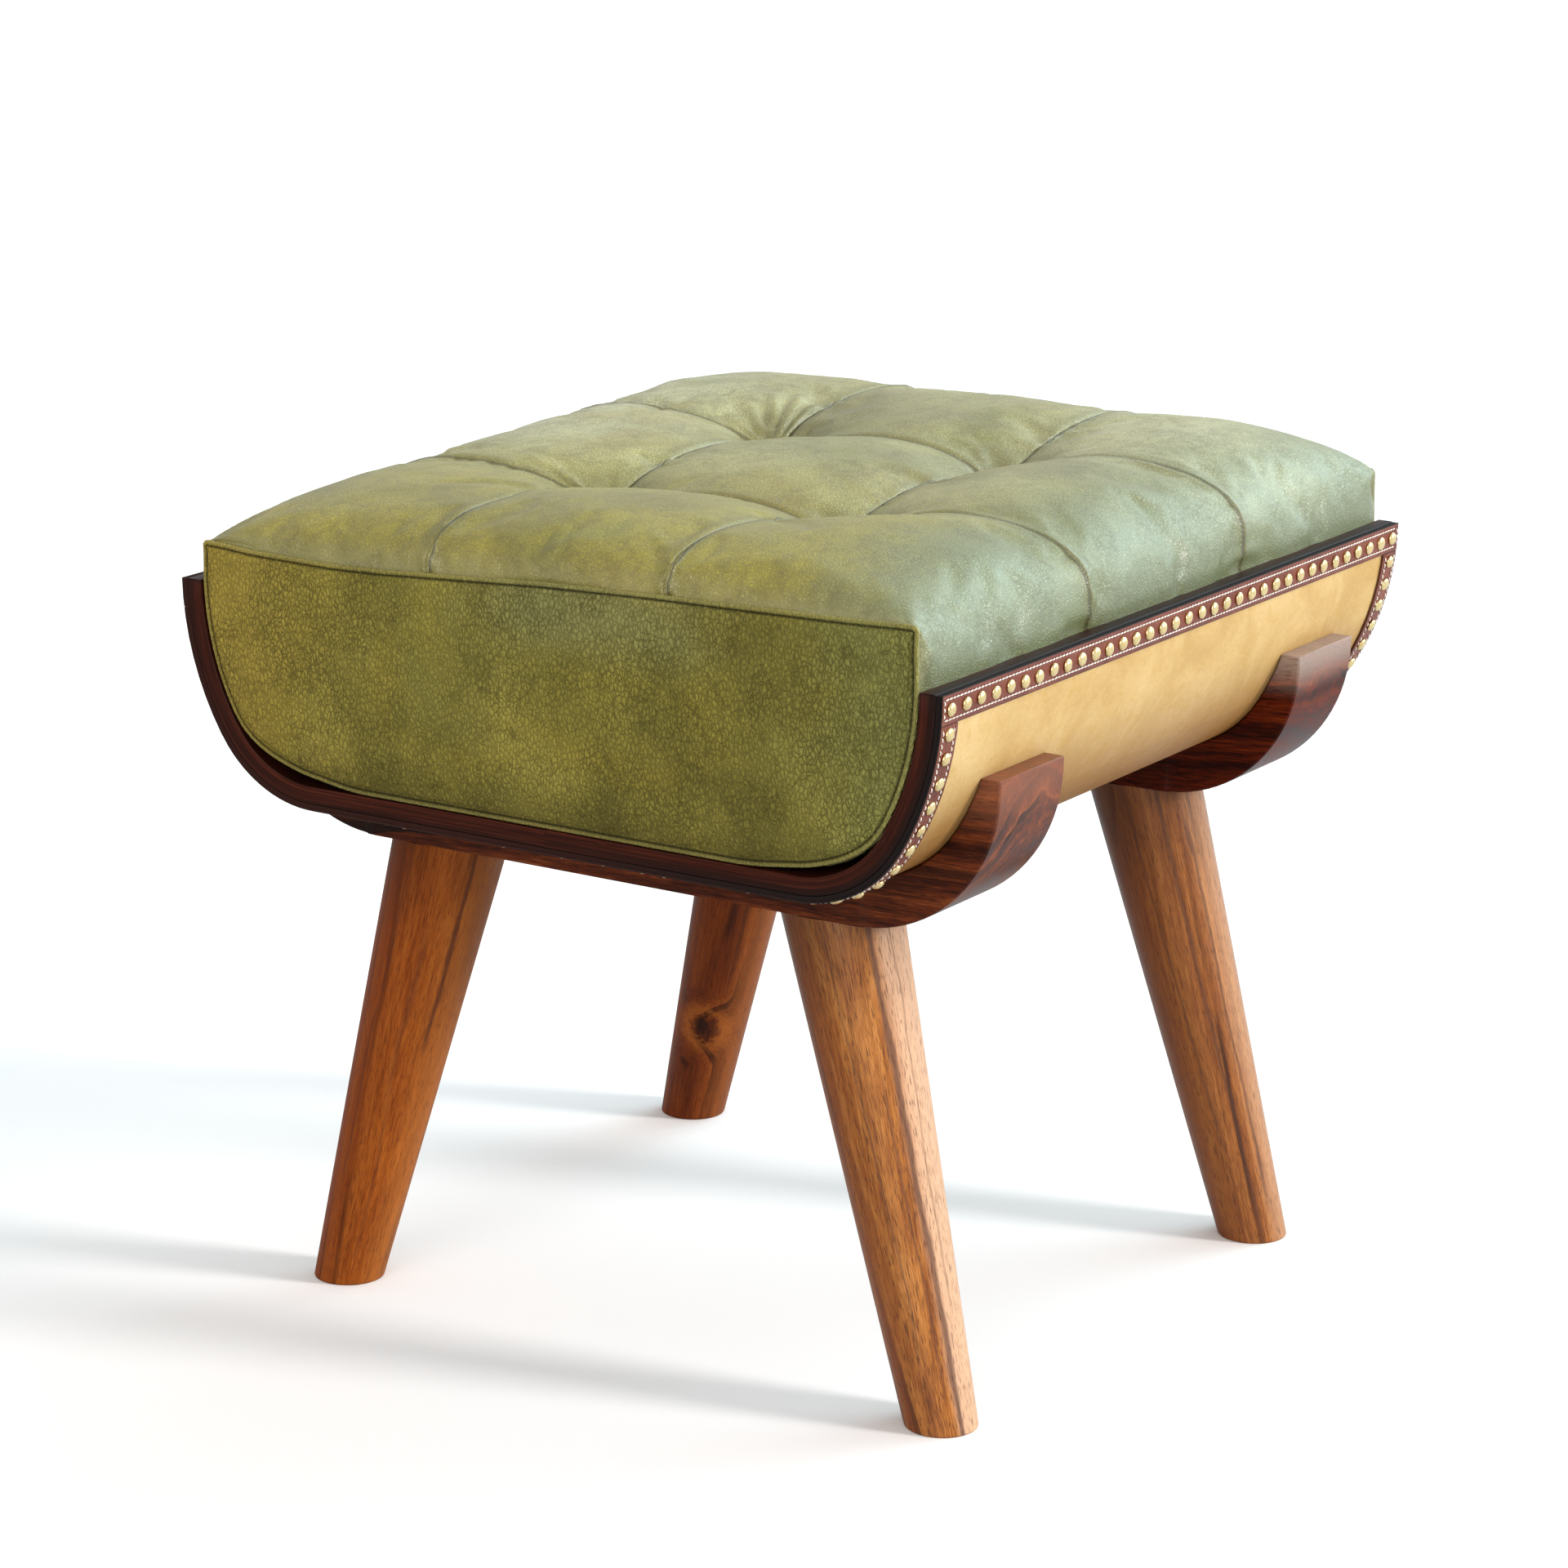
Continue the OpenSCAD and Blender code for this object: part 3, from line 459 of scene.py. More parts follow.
def brown_leather(name, end_strip):
    """Strap leather; a shallow channel runs under each row of stitches, and the cut edges are black."""
    m = Mat(name)
    across = m.sub(CRADLE_HD - TRIM_INSET, m.abs(m.y)) if end_strip else m.sub(RIM_Z - TRIM_INSET, m.z)
    edge = m.least(across, m.sub(TRIM_W, across))
    row = m.step(m.abs(m.sub(edge, 2.5)), 0.0, 0.9, 1.0, 0.0)
    cloud = m.noise(m.p, 26, 4, 0.6, 0.6)
    fine = m.cells(m.crumpled(2.0, 0.8), 0.8)
    scuff = m.noise(m.p, 4.5, 4, 0.65, 1.2, shift=50)
    tones = (0.110, 0.021, 0.010), (0.160, 0.034, 0.017), (0.215, 0.055, 0.030)
    color = m.ramp(cloud, (0.3, 0.5, 0.72), tones)
    color = m.tints(color, (scuff, 0.52, 0.75, 0.4, (0.075, 0.014, 0.008)))
    color = m.mix(m.mul(row, 0.35), color, (0.05, 0.011, 0.006))
    color = m.mix(m.step(edge, 0.2, 0.9, 0.6, 0.0), color, (0.035, 0.009, 0.006))
    h = m.add(m.sub(m.mul(fine, 0.35), m.mul(row, 1.6)), m.step(edge, 0.0, 1.3))
    color, h, paint = edge_paint(m, color, h)
    rough = m.most(m.step(scuff, 0.3, 0.7, 0.36, 0.5), m.mul(paint, 0.85))
    return m.set(color=color, rough=rough, spec=0.35, normal=m.bump(h, 0.22, 0.7))


def brass(name, tint, rough):
    m = Mat(name)
    dull = m.noise(m.p, 5.5, 3, 0.6, 0.5)
    dents = m.noise(m.p, 1.6, 2, 0.5, 0.3, shift=30)
    color = m.tints(tint, (dull, 0.45, 0.75, 0.5, shade(tint, 0.72, 0.62, 0.42)))
    rough = m.step(dull, 0.3, 0.7, rough, rough + 0.14)
    return m.set(color=color, metal=1.0, rough=rough, normal=m.bump(dents, 0.05, 0.4))


def steel():
    m = Mat("zinc_steel")
    spangle = m.cells(m.p, 1.8, "F1", out="Color")
    color = m.mix(0.12, (0.58, 0.59, 0.60), spangle)
    dull = m.noise(m.p, 6, 3, 0.6)
    return m.set(color=color, metal=1.0, rough=m.step(dull, 0.3, 0.7, 0.28, 0.45))


def thread(name, light, dark, twist=1.0):
    m = Mat(name)
    n = m.noise(m.p, 0.6 * twist, 2, 0.6)
    soil = m.noise(m.p, 14, 2, 0.5, shift=11)
    color = m.tints(light, (soil, 0.4, 0.7, 0.6, dark))
    return m.set(color=color, rough=0.7, normal=m.bump(n, 0.10, 0.6), sheen=0.2)


def board_wood():
    """Birch plywood, nearly black at its ends as painted shade, so that they show only as a dark gap under the
    cushion.
    """
    m = Mat("birch_board")
    ply = m.step(m.math("FRACT", m.math("DIVIDE", m.z, 2.8)), 0.35, 0.5, 0.0, 0.6)
    grain = m.noise(m.p, 1.0, 4, 0.6, 0.3, stretch=(60, 2, 2))
    color = m.ramp(grain, (0.3, 0.7), ((0.45, 0.31, 0.17), (0.64, 0.48, 0.30)))
    color = m.mix(m.mul(ply, 0.4), color, (0.34, 0.21, 0.11))
    # Painted shade: the ends are nearly black, for the gap under the cushion
    end = m.most(m.step(m.abs(m.y), 222.0, 226.0), m.step(m.abs(m.x), 134.0, 139.0))
    color = m.mix(end, color, (0.0025, 0.0016, 0.0012))
    return m.set(color=color, rough=0.75, spec=0.05, normal=m.bump(grain, 0.1, 0.4))


# Mesh helpers
def placed(name, data):
    obj = bpy.data.objects.new(name, data)
    bpy.context.scene.collection.objects.link(obj)
    return obj


def piece(name, verts, faces, material, attributes=None):
    """A smooth mesh piece from millimetre points, riding on the root body."""
    mesh = bpy.data.meshes.new(name)
    verts = np.asarray(verts, float) * 0.001
    mesh.from_pydata(verts.tolist(), [], [tuple(int(i) for i in f) for f in faces])
    mesh.validate()
    mesh.polygons.foreach_set("use_smooth", [True] * len(mesh.polygons))
    for key, values in (attributes or {}).items():
        a = mesh.attributes.new(key, "FLOAT", "POINT")
        a.data.foreach_set("value", np.asarray(values, np.float32))
    mesh.materials.append(material)
    obj = placed(name, mesh)
    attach(obj, "root")
    return obj


def outline_at(s, o):
    """A point o outside the shell's outline, at arc length s from the right rim, and its outward normal."""
    mirror = s > OUTLINE_LEN / 2
    if mirror:
        s = OUTLINE_LEN - s
    if s <= SIDE_LEN:
        a, c, r = -s / SIDE_R, (SIDE_CX, RIM_Z), SIDE_R
    elif s <= SIDE_LEN + CORNER_LEN:
        a, c, r = -SIDE_A - (s - SIDE_LEN) / CORNER_R, (CORNER_CX, CORNER_CZ), CORNER_R
    else:
        x = CORNER_CX - (s - SIDE_LEN - CORNER_LEN)
        return np.array([-x if mirror else x, SHELL_Z - o]), np.array([0.0, -1.0])
    n = np.array([math.cos(a), math.sin(a)])
    p = np.array(c) + (r + o) * n
    if mirror:
        p[0], n[0] = -p[0], -n[0]
    return p, n


def wrapped(s, y, o):
    """A 3-D point on the outline, its outward normal and the direction along the outline."""
    p, n = outline_at(s, o)
    return np.array([p[0], y, p[1]]), np.array([n[0], 0.0, n[1]]), np.array([n[1], 0.0, -n[0]])


def band_faces(rows, count, start=0, flip=False):
    """Quads between closed rings of count points each."""
    faces = []
    for r in range(rows - 1):
        for c in range(count):
            a, b = start + r * count + c, start + r * count + (c + 1) % count
            faces.append((a, b, b + count, a + count) if flip else (a, a + count, b + count, b))
    return faces


def nail_heads(name, places, node):
    """Domed heads with a turned-in rim, each set a little differently."""
    rings, sides = 7, 20
    verts, faces = [], []
    for s, y in places:
        p, n, t = wrapped(s, y, NAIL_O - 0.15)
        u = np.array([0.0, 1.0, 0.0])
        tilt = rng.normal(0, 0.045, 2)
        n2 = n + tilt[0] * t + tilt[1] * u
        n2 /= np.linalg.norm(n2)
        t2 = np.cross(u, n2)
        t2 /= np.linalg.norm(t2)
        u2 = np.cross(n2, t2)
        p = p + rng.normal(0, 0.22) * t + rng.normal(0, 0.22) * u
        radius = NAIL_R * (1 + rng.normal(0, 0.012))
        high = 2.2 * (1 + rng.normal(0, 0.05))
        dent = rng.uniform(0, 2 * math.pi)
        base = len(verts)
        for i in range(rings):
            a = i / (rings - 1) * math.pi / 2 * 0.94
            r, h = radius * math.cos(a), high * math.sin(a) ** 0.92
            if i == 0:
                r, h = radius * 0.97, -0.05
            for j in range(sides):
                b = 2 * math.pi * j / sides
                k = 1 - 0.05 * max(0.0, math.cos(b - dent)) * math.sin(a)
                verts.append(p + r * math.cos(b) * t2 + r * math.sin(b) * u2 + h * k * n2)
        verts.append(p + high * n2)
        faces += band_faces(rings, sides, base, flip=True)
        top, last = len(verts) - 1, base + (rings - 1) * sides
        faces += [(last + j, last + (j + 1) % sides, top) for j in range(sides)]
        faces.append([base + j for j in range(sides)][::-1])
    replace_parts(piece(name, verts, faces, MATS["nail_brass"]), node)


def stitches(name, rows):
    """Slightly slanted thread stitches; each of the rows is (place, direction, normal, length)."""
    sides, rings = 6, 6
    verts, faces = [], []
    for p, d, n, length in rows:
        w = np.cross(n, d)
        slant = 0.16 + rng.normal(0, 0.04)
        d = d + slant * w
        d /= np.linalg.norm(d)
        w = np.cross(n, d)
        length = length * (1 + rng.normal(0, 0.04))
        base = len(verts)
        for i in range(rings):
            k = i / (rings - 1) * 2 - 1
            r = 0.34 * math.sqrt(max(0.0, 1 - abs(k) ** 4)) + 0.05
            c = p + d * (k * length / 2) + n * (0.22 - 0.42 * abs(k) ** 3)
            for j in range(sides):
                b = 2 * math.pi * j / sides
                verts.append(c + r * math.cos(b) * w + 0.85 * r * math.sin(b) * n)
        faces += band_faces(rings, sides, base, flip=True)
        faces.append([base + j for j in range(sides)][::-1])
        faces.append([base + (rings - 1) * sides + j for j in range(sides)])
    piece(name, verts, faces, MATS["stitch_thread"])


# Crown of the seat, fitted to its seams and its outline: the crown's height, exponents and the channels'
# depth, then for each tuft its side along x and y, its depth and its reach along x and y, then how much the
# seat rises to the right and to the back, and a smooth correction
CROWN_Z, CROWN_PX, CROWN_PY, STAR, CHANNEL = 455.93, 3.153, 2.716, 1.15, 0.5
TUFTS = ((-1, -1, 30.6, 64.4, 55.9), (1, -1, 34.2, 63.0, 69.6),
         (-1, 1, 29.3, 40.8, 37.8), (1, 1, 32.1, 40.8, 61.7))
LEAN = (2.60, 1.95)
SWAY = (1.17, -2.65, 4.81, -9.62, 7.96, -2.30, 5.69, 5.98, -7.11)
# Height of the sewn edge along the front, which isn't level on the real seat
FRONT_X = (-225, -209, -185, -131, -100, -68, -36, -2, 48, 121, 188, 210, 234)
FRONT_Z = (417.1, 415.6, 413.9, 413.4, 414.1, 415.8, 417.7, 419.9, 421.7, 423.5, 425.1, 426.0, 426.2)


def swell(t, p):
    return np.maximum(0.0, 1 - np.abs(t) ** p) ** (1 / p)


def smooth(v, lo, hi):
    k = np.clip((v - lo) / (hi - lo), 0, 1)
    return k * k * (3 - 2 * k)


def crown(t, y):
    """Points of the seat's top at t across (-1 to 1) and y."""
    g = swell(y / SEAT_HD, CROWN_PY)
    w = SEAT_HW_END + (SEAT_HW - SEAT_HW_END) * g
    x = t * w
    turn = END_TURN * (1 - swell(t, 14))
    a, b = x / 220, y / 224
    lean = LEAN[0] * a + LEAN[1] * b
    level = END_Z + lean
    front = np.interp(x, FRONT_X, FRONT_Z)
    z_end = np.where(y < 0, front, level) - turn
    rise = swell(t, CROWN_PX)
    z_mid = SIDE_Z + (CROWN_Z - SIDE_Z) * rise + lean
    draw = 0
    for sx, sy, depth, rx, ry in TUFTS:
        dx, dy = np.abs(x - sx * SEAM_X) / rx, np.abs(y - sy * SEAM_Y) / ry
        draw = draw + depth * np.exp(-((dx ** STAR + dy ** STAR) ** (1 / STAR)))
    for value, seam in ((x, SEAM_X), (y, SEAM_Y)):
        draw = draw + CHANNEL * np.exp(-np.abs(np.abs(value) - seam) / 9)
    terms = (a * a, a * b, b * b, a ** 3, a * a * b, a * b * b, b ** 3, a, b)
    sway = sum(k * term for k, term in zip(SWAY, terms))
    z = z_end + (z_mid - z_end) * g - g * rise * (draw - sway)
    return x, z


def run(line):
    """Distance along a line of points, from its start."""
    return np.concatenate([[0], np.cumsum(np.linalg.norm(np.diff(line, axis=0), axis=1))])


def arc(cx, cz, r, a0, a1, n):
    a = np.linspace(a0, a1, n)
    return np.stack([cx + r * np.cos(a), cz + r * np.sin(a)], 1)


def resampled(line, fractions):
    d = run(line)
    f = np.asarray(fractions) * d[-1]
    return np.stack([np.interp(f, d, line[:, i]) for i in range(line.shape[1])], 1)


def spaced(length, coarse, fine_start, fine_end, fine):
    """Fractions along an interval, with close steps at the ends that meet a seam."""
    xs = np.linspace(0, length, 4000)
    h = np.full_like(xs, coarse)
    for on, d in ((fine_start, xs), (fine_end, length - xs)):
        if on:
            h = np.minimum(h, fine + np.maximum(0, d - FINE_ZONE) * 0.28)
    density = 1 / h
    c = np.concatenate([[0], np.cumsum((density[1:] + density[:-1]) / 2 * np.diff(xs))])
    n = max(2, int(round(c[-1])))
    return np.interp(np.linspace(0, c[-1], n + 1), c, xs) / length


# Lengths that set the number of steps across the top's outer and middle parts and down a side, the distance
# from a seam over which steps stay fine, and the two step lengths: coarse, and fine beside the seams
TOP_LEN, MID_LEN, SIDE_RUN, FINE_ZONE = 186, 150, 178, 3.6
SHOWN_STEPS, CLOTH_STEPS = (3.1, 0.45), (4.8, None)


def seat_grid(coarse, fine):
    """The cover's closed sections, row by row, the marks of their intervals, and their points' places."""
    z_fine = fine is not None
    f = fine or coarse
    top = spaced(TOP_LEN, coarse, False, z_fine, f)
    mid = spaced(MID_LEN, coarse, z_fine, z_fine, f)
    side = spaced(SIDE_RUN, coarse * 1.1, False, False, f)
    over = np.concatenate([top * TOP_LEN, TOP_LEN + mid[1:] * MID_LEN,
                           TOP_LEN + MID_LEN + (1 - top[::-1][1:]) * TOP_LEN]) / (2 * TOP_LEN + MID_LEN)
    mid_line = SEAT_HD * np.sin(np.linspace(-math.pi / 2, math.pi / 2, 4001))
    zc = crown(np.zeros_like(mid_line), mid_line)[1]
    line = np.stack([mid_line, zc], 1)
    rows = []
    stops = (-SEAT_HD, -SEAM_Y, SEAM_Y, SEAT_HD)
    for lo, hi in zip(stops, stops[1:]):
        part = line[(mid_line >= lo - 1e-6) & (mid_line <= hi + 1e-6)]
        ends = [[[v, np.interp(v, mid_line, zc)]] for v in (lo, hi)]
        part = np.concatenate([ends[0], part, ends[1]])
        seams = (z_fine and abs(lo) == SEAM_Y, z_fine and abs(hi) == SEAM_Y)
        ys = resampled(part, spaced(run(part)[-1], coarse, *seams, f))[:, 0]
        rows.append(ys if not rows else ys[1:])
    ys = np.concatenate(rows)
    grid = np.array([section(y, top, mid, side, over) for y in ys])
    n_top, n_mid, n_side = len(top) - 1, len(mid) - 1, len(side) - 1
    top_end = n_side + 2 * n_top + n_mid
    marks = {"right_seam": n_side + n_top, "left_seam": n_side + n_top + n_mid, "top_end": top_end,
             "left_end": n_side + top_end, "count": grid.shape[1], "n_side": n_side}
    for key, seam in (("front_seam", -SEAM_Y), ("back_seam", SEAM_Y)):
        marks[key] = int(np.argmin(np.abs(ys - seam)))
    cols = np.concatenate([side, 1 + top[1:], 2 + mid[1:], 3 + (1 - top[::-1][1:]), 4 + side[1:]])
    return grid, marks, cols, ys


# How far the cushion's lower corners stand off the shell at its ends, left and right, how far that reaches
# along the outline, how far up the corner its middle is, and how much of the floor a corner's line has
CORNER_GAPS, GAP_REACH, GAP_AT, FLOOR_PART = (5.0, 4.2), 50.0, 16.0, 32.0


def section(y, top, mid, side, over):
    """One closed section at y: right side up, over the top, left side down, and back along the bottom."""
    end = float(smooth(abs(y), 150, SEAT_HD))
    o = SHELL_T + 0.5
    board = BOARD_TOP + 0.4

    def lifted(line):
        """The line kept above the board, where it lies over it."""
        over_board = (np.abs(line[:, 0]) < BOARD_HW + 1.5) & (abs(y) < BOARD_HD + 0.3) & (line[:, 1] < board)
        line[over_board, 1] = board
        return line

    def corner(gap):
        """Along the floor, up the corner and up the wall, drawn in smoothly by the gap round the corner."""
        floor = np.stack([np.linspace(CORNER_CX - FLOOR_PART, CORNER_CX, 40), np.full(40, SHELL_Z + o)], 1)
        bend = arc(CORNER_CX, CORNER_CZ, CORNER_R - o, -math.pi / 2, -SIDE_A, 60)[1:]
        up = arc(SIDE_CX, RIM_Z, SIDE_R - o, -SIDE_A, 0, 60)[1:]
        line = np.concatenate([floor, bend, up])
        s = run(line) - FLOOR_PART - GAP_AT
        d = np.gradient(line, axis=0)
        n = np.stack([-d[:, 1], d[:, 0]], 1) / np.linalg.norm(d, axis=1)[:, None]
        bump = np.cos(np.clip(s / GAP_REACH, -1, 1) * math.pi / 2) ** 2
        return line + n * (gap * end * bump)[:, None]

    t = np.sin(np.linspace(math.pi / 2, 0, 400))
    (xr, zr), (xl, zl) = (crown(v, np.full_like(t, y)) for v in (t, -t))

    def rise(x1, z1):
        k = np.linspace(0, 1, 20)[1:]
        b = SIDE_CX + SIDE_R - o
        return np.stack([b + (x1 - b) * (k * k * (3 - 2 * k)), RIM_Z + (z1 - RIM_Z) * k], 1)

    right = np.concatenate([corner(CORNER_GAPS[1]), rise(xr[0], zr[0])])
    left = np.concatenate([corner(CORNER_GAPS[0]), rise(-xl[0], zl[0])])
    left[:, 0] *= -1
    left = left[::-1]
    xs = np.concatenate([xr, xl[::-1][1:]])
    zs = np.concatenate([zr, zl[::-1][1:]])
    line = np.stack([xs, zs], 1)

    def cut(a, b):
        m = (xs < a) & (xs > b)
        za, zb = (np.interp(v, xs[::-1], zs[::-1]) for v in (a, b))
        return np.concatenate([[[a, za]], line[m], [[b, zb]]])

    parts = [lifted(resampled(right, side)),
             resampled(cut(xs[0], SEAM_X), top)[1:],
             resampled(cut(SEAM_X, -SEAM_X), mid)[1:],
             resampled(cut(-SEAM_X, xs[-1]), 1 - top[::-1])[1:],
             lifted(resampled(left, side))[1:]]
    b0, b1 = left[-1], right[0]
    bx = b0[0] + (b1[0] - b0[0]) * over
    parts.append(lifted(np.stack([bx, np.full_like(bx, b0[1])], 1))[1:-1])
    flat = np.concatenate(parts)
    return np.stack([flat[:, 0], np.full(len(flat), y), flat[:, 1]], 1)


def loop_out(ring):
    """Outward directions in the XZ plane along a closed ring that runs anticlockwise."""
    d = np.roll(ring, -1, axis=0) - np.roll(ring, 1, axis=0)
    n = np.stack([d[:, 2], np.zeros(len(ring)), -d[:, 0]], 1)
    n /= np.linalg.norm(n, axis=1)[:, None] + 1e-12
    for _ in range(2):
        n = np.roll(n, 1, axis=0) + n * 2 + np.roll(n, -1, axis=0)
        n /= np.linalg.norm(n, axis=1)[:, None] + 1e-12
    return n


# The sewn edge at each end, as steps (outward along y, out from the section, ridge, groove), and how many
# of its rows of faces have the panel's leather
PANEL_ROWS = 9
EDGE = ((0.4, -0.15, 0.1, 0.0), (0.9, 0.05, 0.5, 0.0), (1.5, 0.12, 0.8, 0.0), (2.0, -0.25, 0.8, 0.0),
        (2.3, -0.85, 0.6, 0.0), (2.35, -1.5, 0.4, 0.0), (2.2, -2.1, 0.1, 0.3), (1.75, -2.5, 0.0, 1.0),
        (1.7, -2.8, 0.0, 1.0), (2.15, -3.15, 0.0, 0.6), (2.6, -3.8, 0.0, 0.0), (2.9, -4.9, 0.0, 0.0))


def ring_sides(ring, marks):
    """A ring's right, top, left and bottom sides, each running up or to the right."""
    ns, te, le = marks["n_side"], marks["top_end"], marks["left_end"]
    return ring[:ns + 1], ring[ns:te + 1][::-1], ring[te:le + 1][::-1], np.concatenate([ring[le:], ring[:1]])


def coons(ring, marks):
    """A grid of points over the area inside a closed ring, from its four sides."""
    right, top, left, bottom = ring_sides(ring, marks)
    u = np.linspace(0, 1, len(bottom))[None, :, None]
    v = np.linspace(0, 1, len(right))[:, None, None]
    b, t, l, r = bottom[None], top[None], left[:, None], right[:, None]
    p00, p10, p01, p11 = bottom[0], bottom[-1], top[0], top[-1]
    grid = ((1 - v) * b + v * t + (1 - u) * l + u * r
            - ((1 - u) * (1 - v) * p00 + u * (1 - v) * p10 + (1 - u) * v * p01 + u * v * p11))
    return grid, u[0, :, 0], v[:, 0, 0]


def cubic(values, old, new):
    """Values on a grid's first axis at old, read at new, by cubic pieces."""
    old, new = np.asarray(old, float), np.asarray(new, float)
    slope = np.gradient(values, old, axis=0)
    i = np.clip(np.searchsorted(old, new, side="right") - 1, 0, len(old) - 2)
    h = old[i + 1] - old[i]
    k = (new - old[i]) / h
    shape = (len(new),) + (1,) * (values.ndim - 1)
    k, h = k.reshape(shape), h.reshape(shape)
    a, b, sa, sb = values[i], values[i + 1], slope[i], slope[i + 1]
    return ((2 * k**3 - 3 * k**2 + 1) * a + (k**3 - 2 * k**2 + k) * h * sa
            + (-2 * k**3 + 3 * k**2) * b + (k**3 - k**2) * h * sb)


def cubic_grid(values, rows, cols, new_rows, new_cols):
    """A grid's values at rows and cols, read at new ones."""
    values = cubic(values, rows, new_rows)
    return np.swapaxes(cubic(np.swapaxes(values, 0, 1), cols, new_cols), 0, 1)


def with_panel(verts, faces, grid, marks, start, front):
    """Adds an end panel: its border is the ring that begins at start, and its inner points are new."""
    inner = grid[1:-1, 1:-1].reshape(-1, 3)
    h, w = grid.shape[:2]
    idx = np.empty((h, w), int)
    idx[1:-1, 1:-1] = np.arange(len(inner)).reshape(h - 2, w - 2) + len(verts)
    idx[:, -1], idx[-1], idx[:, 0], idx[0] = ring_sides(np.arange(marks["count"]) + start, marks)
    for r in range(h - 1):
        for c in range(w - 1):
            q = (idx[r, c], idx[r, c + 1], idx[r + 1, c + 1], idx[r + 1, c])
            faces.append(q if front else q[::-1])
    return np.concatenate([verts, inner])


# The cloth's settings and how long it runs, the most that it may move a point in mm, and how many times its
# moves are averaged to find their slow part
CLOTH = {"quality": 6, "mass": 0.25, "tension_stiffness": 22, "compression_stiffness": 22,
         "shear_stiffness": 9, "bending_stiffness": 0.35, "use_pressure": True, "uniform_pressure_force": 4.0,
         "shrink_min": -0.012, "vertex_group_mass": "pin"}
CLOTH_FRAMES, SWELL_CAP, SLOW_TURNS = 20, 6.0, 40


def without_slow(field, turns):
    """A grid of moves less its slow part, so that only creases and small swells stay."""
    slow = field.copy()
    for _ in range(turns):
        for axis in (0, 1):
            back, ahead = np.roll(slow, 1, axis=axis), np.roll(slow, -1, axis=axis)
            first, last = [slice(None)] * 3, [slice(None)] * 3
            first[axis], last[axis] = 0, -1
            back[tuple(first)], ahead[tuple(last)] = slow[tuple(first)], slow[tuple(last)]
            slow = 0.25 * back + 0.5 * slow + 0.25 * ahead
    return field - 0.9 * slow


def swollen(low_grid, marks):
    """What a cloth simulation of the closed cover moves each point by, on the cover and on the end panels."""
    rows, count = low_grid.shape[:2]
    verts = low_grid.reshape(-1, 3).copy()
    faces = band_faces(rows, count)
    panels = []
    for ring_row, sign in ((0, -1), (rows - 1, 1)):
        grid, u, v = coons(low_grid[ring_row], marks)
        grid[..., 1] += sign * 1.2 * (swell(2 * u - 1, 3)[None, :] * swell(2 * v - 1, 3)[:, None])
        panels.append((len(verts), grid.shape[:2], u, v))
        verts = with_panel(verts, faces, grid, marks, ring_row * count, sign < 0)
    # Held fast below, at the two ends and where the seams cross, and less along the seams
    pin = np.zeros(len(verts))
    g = pin[:rows * count].reshape(rows, count)
    seam_cols, seam_rows = ([marks[side + "_seam"] for side in pair] for pair in SEAM_PAIRS)
    g[:, marks["left_end"] - 4:] = g[:, :4] = g[0] = g[-1] = 1
    for c in seam_cols:
        g[:, c] = 0.75
    for r in seam_rows:
        g[r, :marks["left_end"]] = np.maximum(g[r, :marks["left_end"]], 0.75)
        for c in seam_cols:
            g[r - 1:r + 2, c - 1:c + 2] = 1
    mesh = bpy.data.meshes.new("seat_sim")
    mesh.from_pydata((verts * 0.001).tolist(), [], [tuple(int(i) for i in f) for f in faces])
    obj = placed("seat_sim", mesh)
    group = obj.vertex_groups.new(name="pin")
    for w in np.unique(pin):
        if w > 0:
            group.add(np.flatnonzero(pin == w).tolist(), float(w), "REPLACE")
    mod = obj.modifiers.new("cloth", "CLOTH")
    for key, value in CLOTH.items():
        setattr(mod.settings, key, value)
    mod.settings.effector_weights.gravity = 0
    mod.collision_settings.use_collision = mod.collision_settings.use_self_collision = False
    mod.point_cache.frame_start, mod.point_cache.frame_end = 1, CLOTH_FRAMES
    scene = bpy.context.scene
    for f in range(1, CLOTH_FRAMES + 1):
        scene.frame_set(f)
    done = obj.evaluated_get(bpy.context.evaluated_depsgraph_get()).data
    out = np.empty(len(done.vertices) * 3)
    done.vertices.foreach_get("co", out)
    moved = out.reshape(-1, 3) * 1000 - verts
    scene.frame_set(1)
    bpy.data.objects.remove(obj)
    bpy.data.meshes.remove(mesh)
    size = np.linalg.norm(moved, axis=1)
    moved *= (np.tanh(size / SWELL_CAP) * SWELL_CAP / np.maximum(size, 1e-9))[:, None]
    print("seat simulation moved points by up to %.1f mm, %.1f mm on average" % (size.max(), size.mean()))
    panel_moves = []
    for start, (h, w), u, v in panels:
        d = np.zeros((h, w, 3))
        d[1:-1, 1:-1] = moved[start:start + (h - 2) * (w - 2)].reshape(h - 2, w - 2, 3)
        panel_moves.append((d, u, v))
    return moved[:rows * count].reshape(rows, count, 3), panel_moves


def value_noise(seed, size):
    """Smooth random values over the plane, about size millimetres from blob to blob."""
    r = np.random.default_rng(seed)
    table = r.uniform(-1, 1, (96, 96))

    def at(x, y):
        u, v = x / size + 48.0, y / size + 48.0
        i, j = np.floor(u).astype(int), np.floor(v).astype(int)
        a, b = u - i, v - j
        a, b = a * a * (3 - 2 * a), b * b * (3 - 2 * b)
        g = lambda p, q: table[p % 96, q % 96]
        return ((1 - a) * (1 - b) * g(i, j) + a * (1 - b) * g(i + 1, j)
                + (1 - a) * b * g(i, j + 1) + a * b * g(i + 1, j + 1))
    return at


def surface_normals(grid):
    dr = np.gradient(grid, axis=0)
    dc = np.gradient(grid, axis=1)
    n = np.cross(dc, dr)
    n /= np.linalg.norm(n, axis=2)[..., None] + 1e-12
    return n


